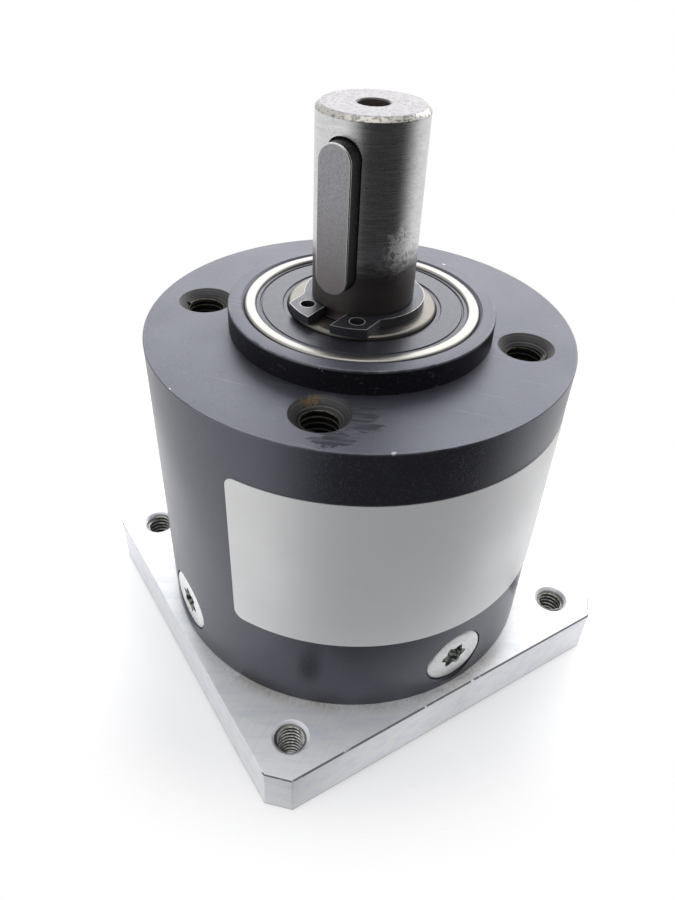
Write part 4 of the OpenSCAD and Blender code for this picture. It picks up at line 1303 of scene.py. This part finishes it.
class SetStage(ReducerPiece):
    """Lays the white floor, hangs the lamps, lights the world and places the camera"""
    bl_idname = "reducer.set_stage"
    bl_label = "Stage"

    def make(self, scene):
        size = scene.reducer_stage
        scene.view_settings.view_transform = "Standard"
        self.floor(size)
        self.sky(scene, size)
        self.lamp("back_softbox", around=44, up=33, far=0.6, wide=0.84, tall=0.42, power=2.7)
        self.lamp("top_softbox", around=200, up=78, far=0.8, wide=0.7, tall=0.7, power=0.9)
        self.camera(scene, size)

    @staticmethod
    def floor(size):
        """A white floor that shines a little for the eye and in mirrors, and ends softly."""
        back = turned(size.azimuth) @ Vector((0, size.back_shift, 0))
        floor = take(started("floor", bpy.ops.mesh.primitive_circle_add, vertices=128,
                             radius=size.floor, fill_type="NGON", location=back))
        material = bpy.data.materials.new("White floor")
        material.use_nodes = True
        board = Board(material.node_tree)
        spot = board.node("TexCoord", output="Object")
        matt = board.node("BsdfDiffuse", {"Color": (0.80, 0.80, 0.81)})
        aside = abs(spot.along((-0.83, 0.56, 0.0))).step(0.02, 0.055)
        glow = board.node("Emission", {"Color": WHITE, "Strength": aside.scale(0.31, 0.7)})
        both = board.node("AddShader", {0: matt, 1: glow})
        seen = board.ray("Camera").most(board.ray("Glossy").most(board.ray("Transmission")))
        mixed = board.node("MixShader", {0: seen, 1: matt, 2: both})
        fade = spot.length().step(size.solid_floor, size.floor)
        open_air = board.node("BsdfTransparent")
        ending = board.node("MixShader", {0: fade, 1: mixed, 2: open_air})
        board.add("OutputMaterial", {0: ending})
        made_of(floor, material)

    @staticmethod
    def sky(scene, size):
        """Even white light; mirrors see a dark room on the viewer's side."""
        world = bpy.data.worlds.new("White tent")
        scene.world = world
        world.use_nodes = True
        board = Board(world.node_tree)
        x, y, height = board.node("TexCoord", output="Generated").split()
        around = x.maths("ARCTAN2", x, y * -1.0)
        left = around.step(math.radians(-90), math.radians(-44))
        right = 1.0 - around.step(math.radians(28), math.radians(85))
        dark = left * right * (1.0 - height.step(0.65, 0.9))
        tent = dark.mix(WHITE, (size.dark,) * 3)
        even = board.node("Background", {0: (0.97, 0.98, 1.0), 1: size.sky})
        mirror = board.node("Background", {0: tent, 1: 1.0})
        white = board.node("Background", {0: WHITE, 1: 1.0})
        lit = board.node("MixShader", {0: board.ray("Glossy"), 1: even, 2: mirror})
        seen = board.ray("Camera").most(board.ray("Transmission"))
        ending = board.node("MixShader", {0: seen, 1: lit, 2: white})
        board.add("OutputWorld", {0: ending})

    @staticmethod
    def lamp(name, around, up, far, wide, tall, power):
        """A rectangular lamp that faces the housing's top."""
        around, up = math.radians(around), math.radians(up)
        way = Vector((math.cos(around) * math.cos(up), math.sin(around) * math.cos(up), math.sin(up)))
        take(None)
        bpy.ops.object.light_add(type="AREA", location=way * far + Vector((0, 0, 40 * MM)))
        lamp = bpy.context.object
        lamp.name = name
        lamp.rotation_euler = way.to_track_quat("Z", "Y").to_euler()
        lamp.data.shape = "RECTANGLE"
        lamp.data.size, lamp.data.size_y = wide, tall
        lamp.data.energy = power

    @staticmethod
    def camera(scene, size):
        a, e = size.azimuth, size.elevation
        back = Vector((math.sin(a) * math.cos(e), -math.cos(a) * math.cos(e), math.sin(e)))
        right = (-back).cross(Vector((0, 0, 1))).normalized()
        up = right.cross(-back)
        tilt = Matrix((right, up, back)).transposed().to_4x4() @ turned(size.roll)
        take(None)
        bpy.ops.object.camera_add()
        camera = bpy.context.object
        camera.name = "camera"
        camera.matrix_world = moved(*(CAMERA_TARGET + back * size.distance)) @ tilt
        camera.data.sensor_width = 36
        camera.data.sensor_fit = "AUTO"
        camera.data.lens = size.lens
        camera.data.shift_x, camera.data.shift_y = CAMERA_SHIFT
        camera.data.clip_start = 0.005
        camera.data.clip_end = 20
        scene.camera = camera


STEPS = (
    (MakeHousing, "reducer_housing", HousingSettings),
    (MakeMotorPlate, "reducer_plate", PlateSettings),
    (MakeRadialScrews, "reducer_screws", ScrewSettings),
    (MakeLabel, "reducer_label", LabelSettings),
    (MakeFrontBearing, "reducer_bearing", BearingSettings),
    (MakeShaft, "reducer_shaft", ShaftSettings),
    (MakeCirclip, "reducer_clip", ClipSettings),
    (DressInside, None, None),
    (SetStage, "reducer_stage", StageSettings),
)


class REDUCER_PT_pieces(bpy.types.Panel):
    bl_label = "Gear reducer"
    bl_idname = "REDUCER_PT_pieces"
    bl_space_type = "VIEW_3D"
    bl_region_type = "UI"
    bl_category = "Reducer"

    def draw(self, context):
        for maker, name, settings in STEPS:
            box = self.layout.box()
            box.operator(maker.bl_idname, text=maker.bl_label)
            for key in settings.__annotations__ if settings else ():
                box.prop(getattr(context.scene, name), key)


def register():
    for maker, name, settings in STEPS:
        if settings:
            bpy.utils.register_class(settings)
            setattr(bpy.types.Scene, name, PointerProperty(type=settings))
        bpy.utils.register_class(maker)
    bpy.utils.register_class(REDUCER_PT_pieces)


def unregister():
    bpy.utils.unregister_class(REDUCER_PT_pieces)
    for maker, name, settings in reversed(STEPS):
        bpy.utils.unregister_class(maker)
        if settings:
            delattr(bpy.types.Scene, name)
            bpy.utils.unregister_class(settings)


def main():
    register()
    for maker, _, _ in STEPS:
        group, step = maker.bl_idname.split(".")
        getattr(getattr(bpy.ops, group), step)()


if __name__ == "__main__":
    main()
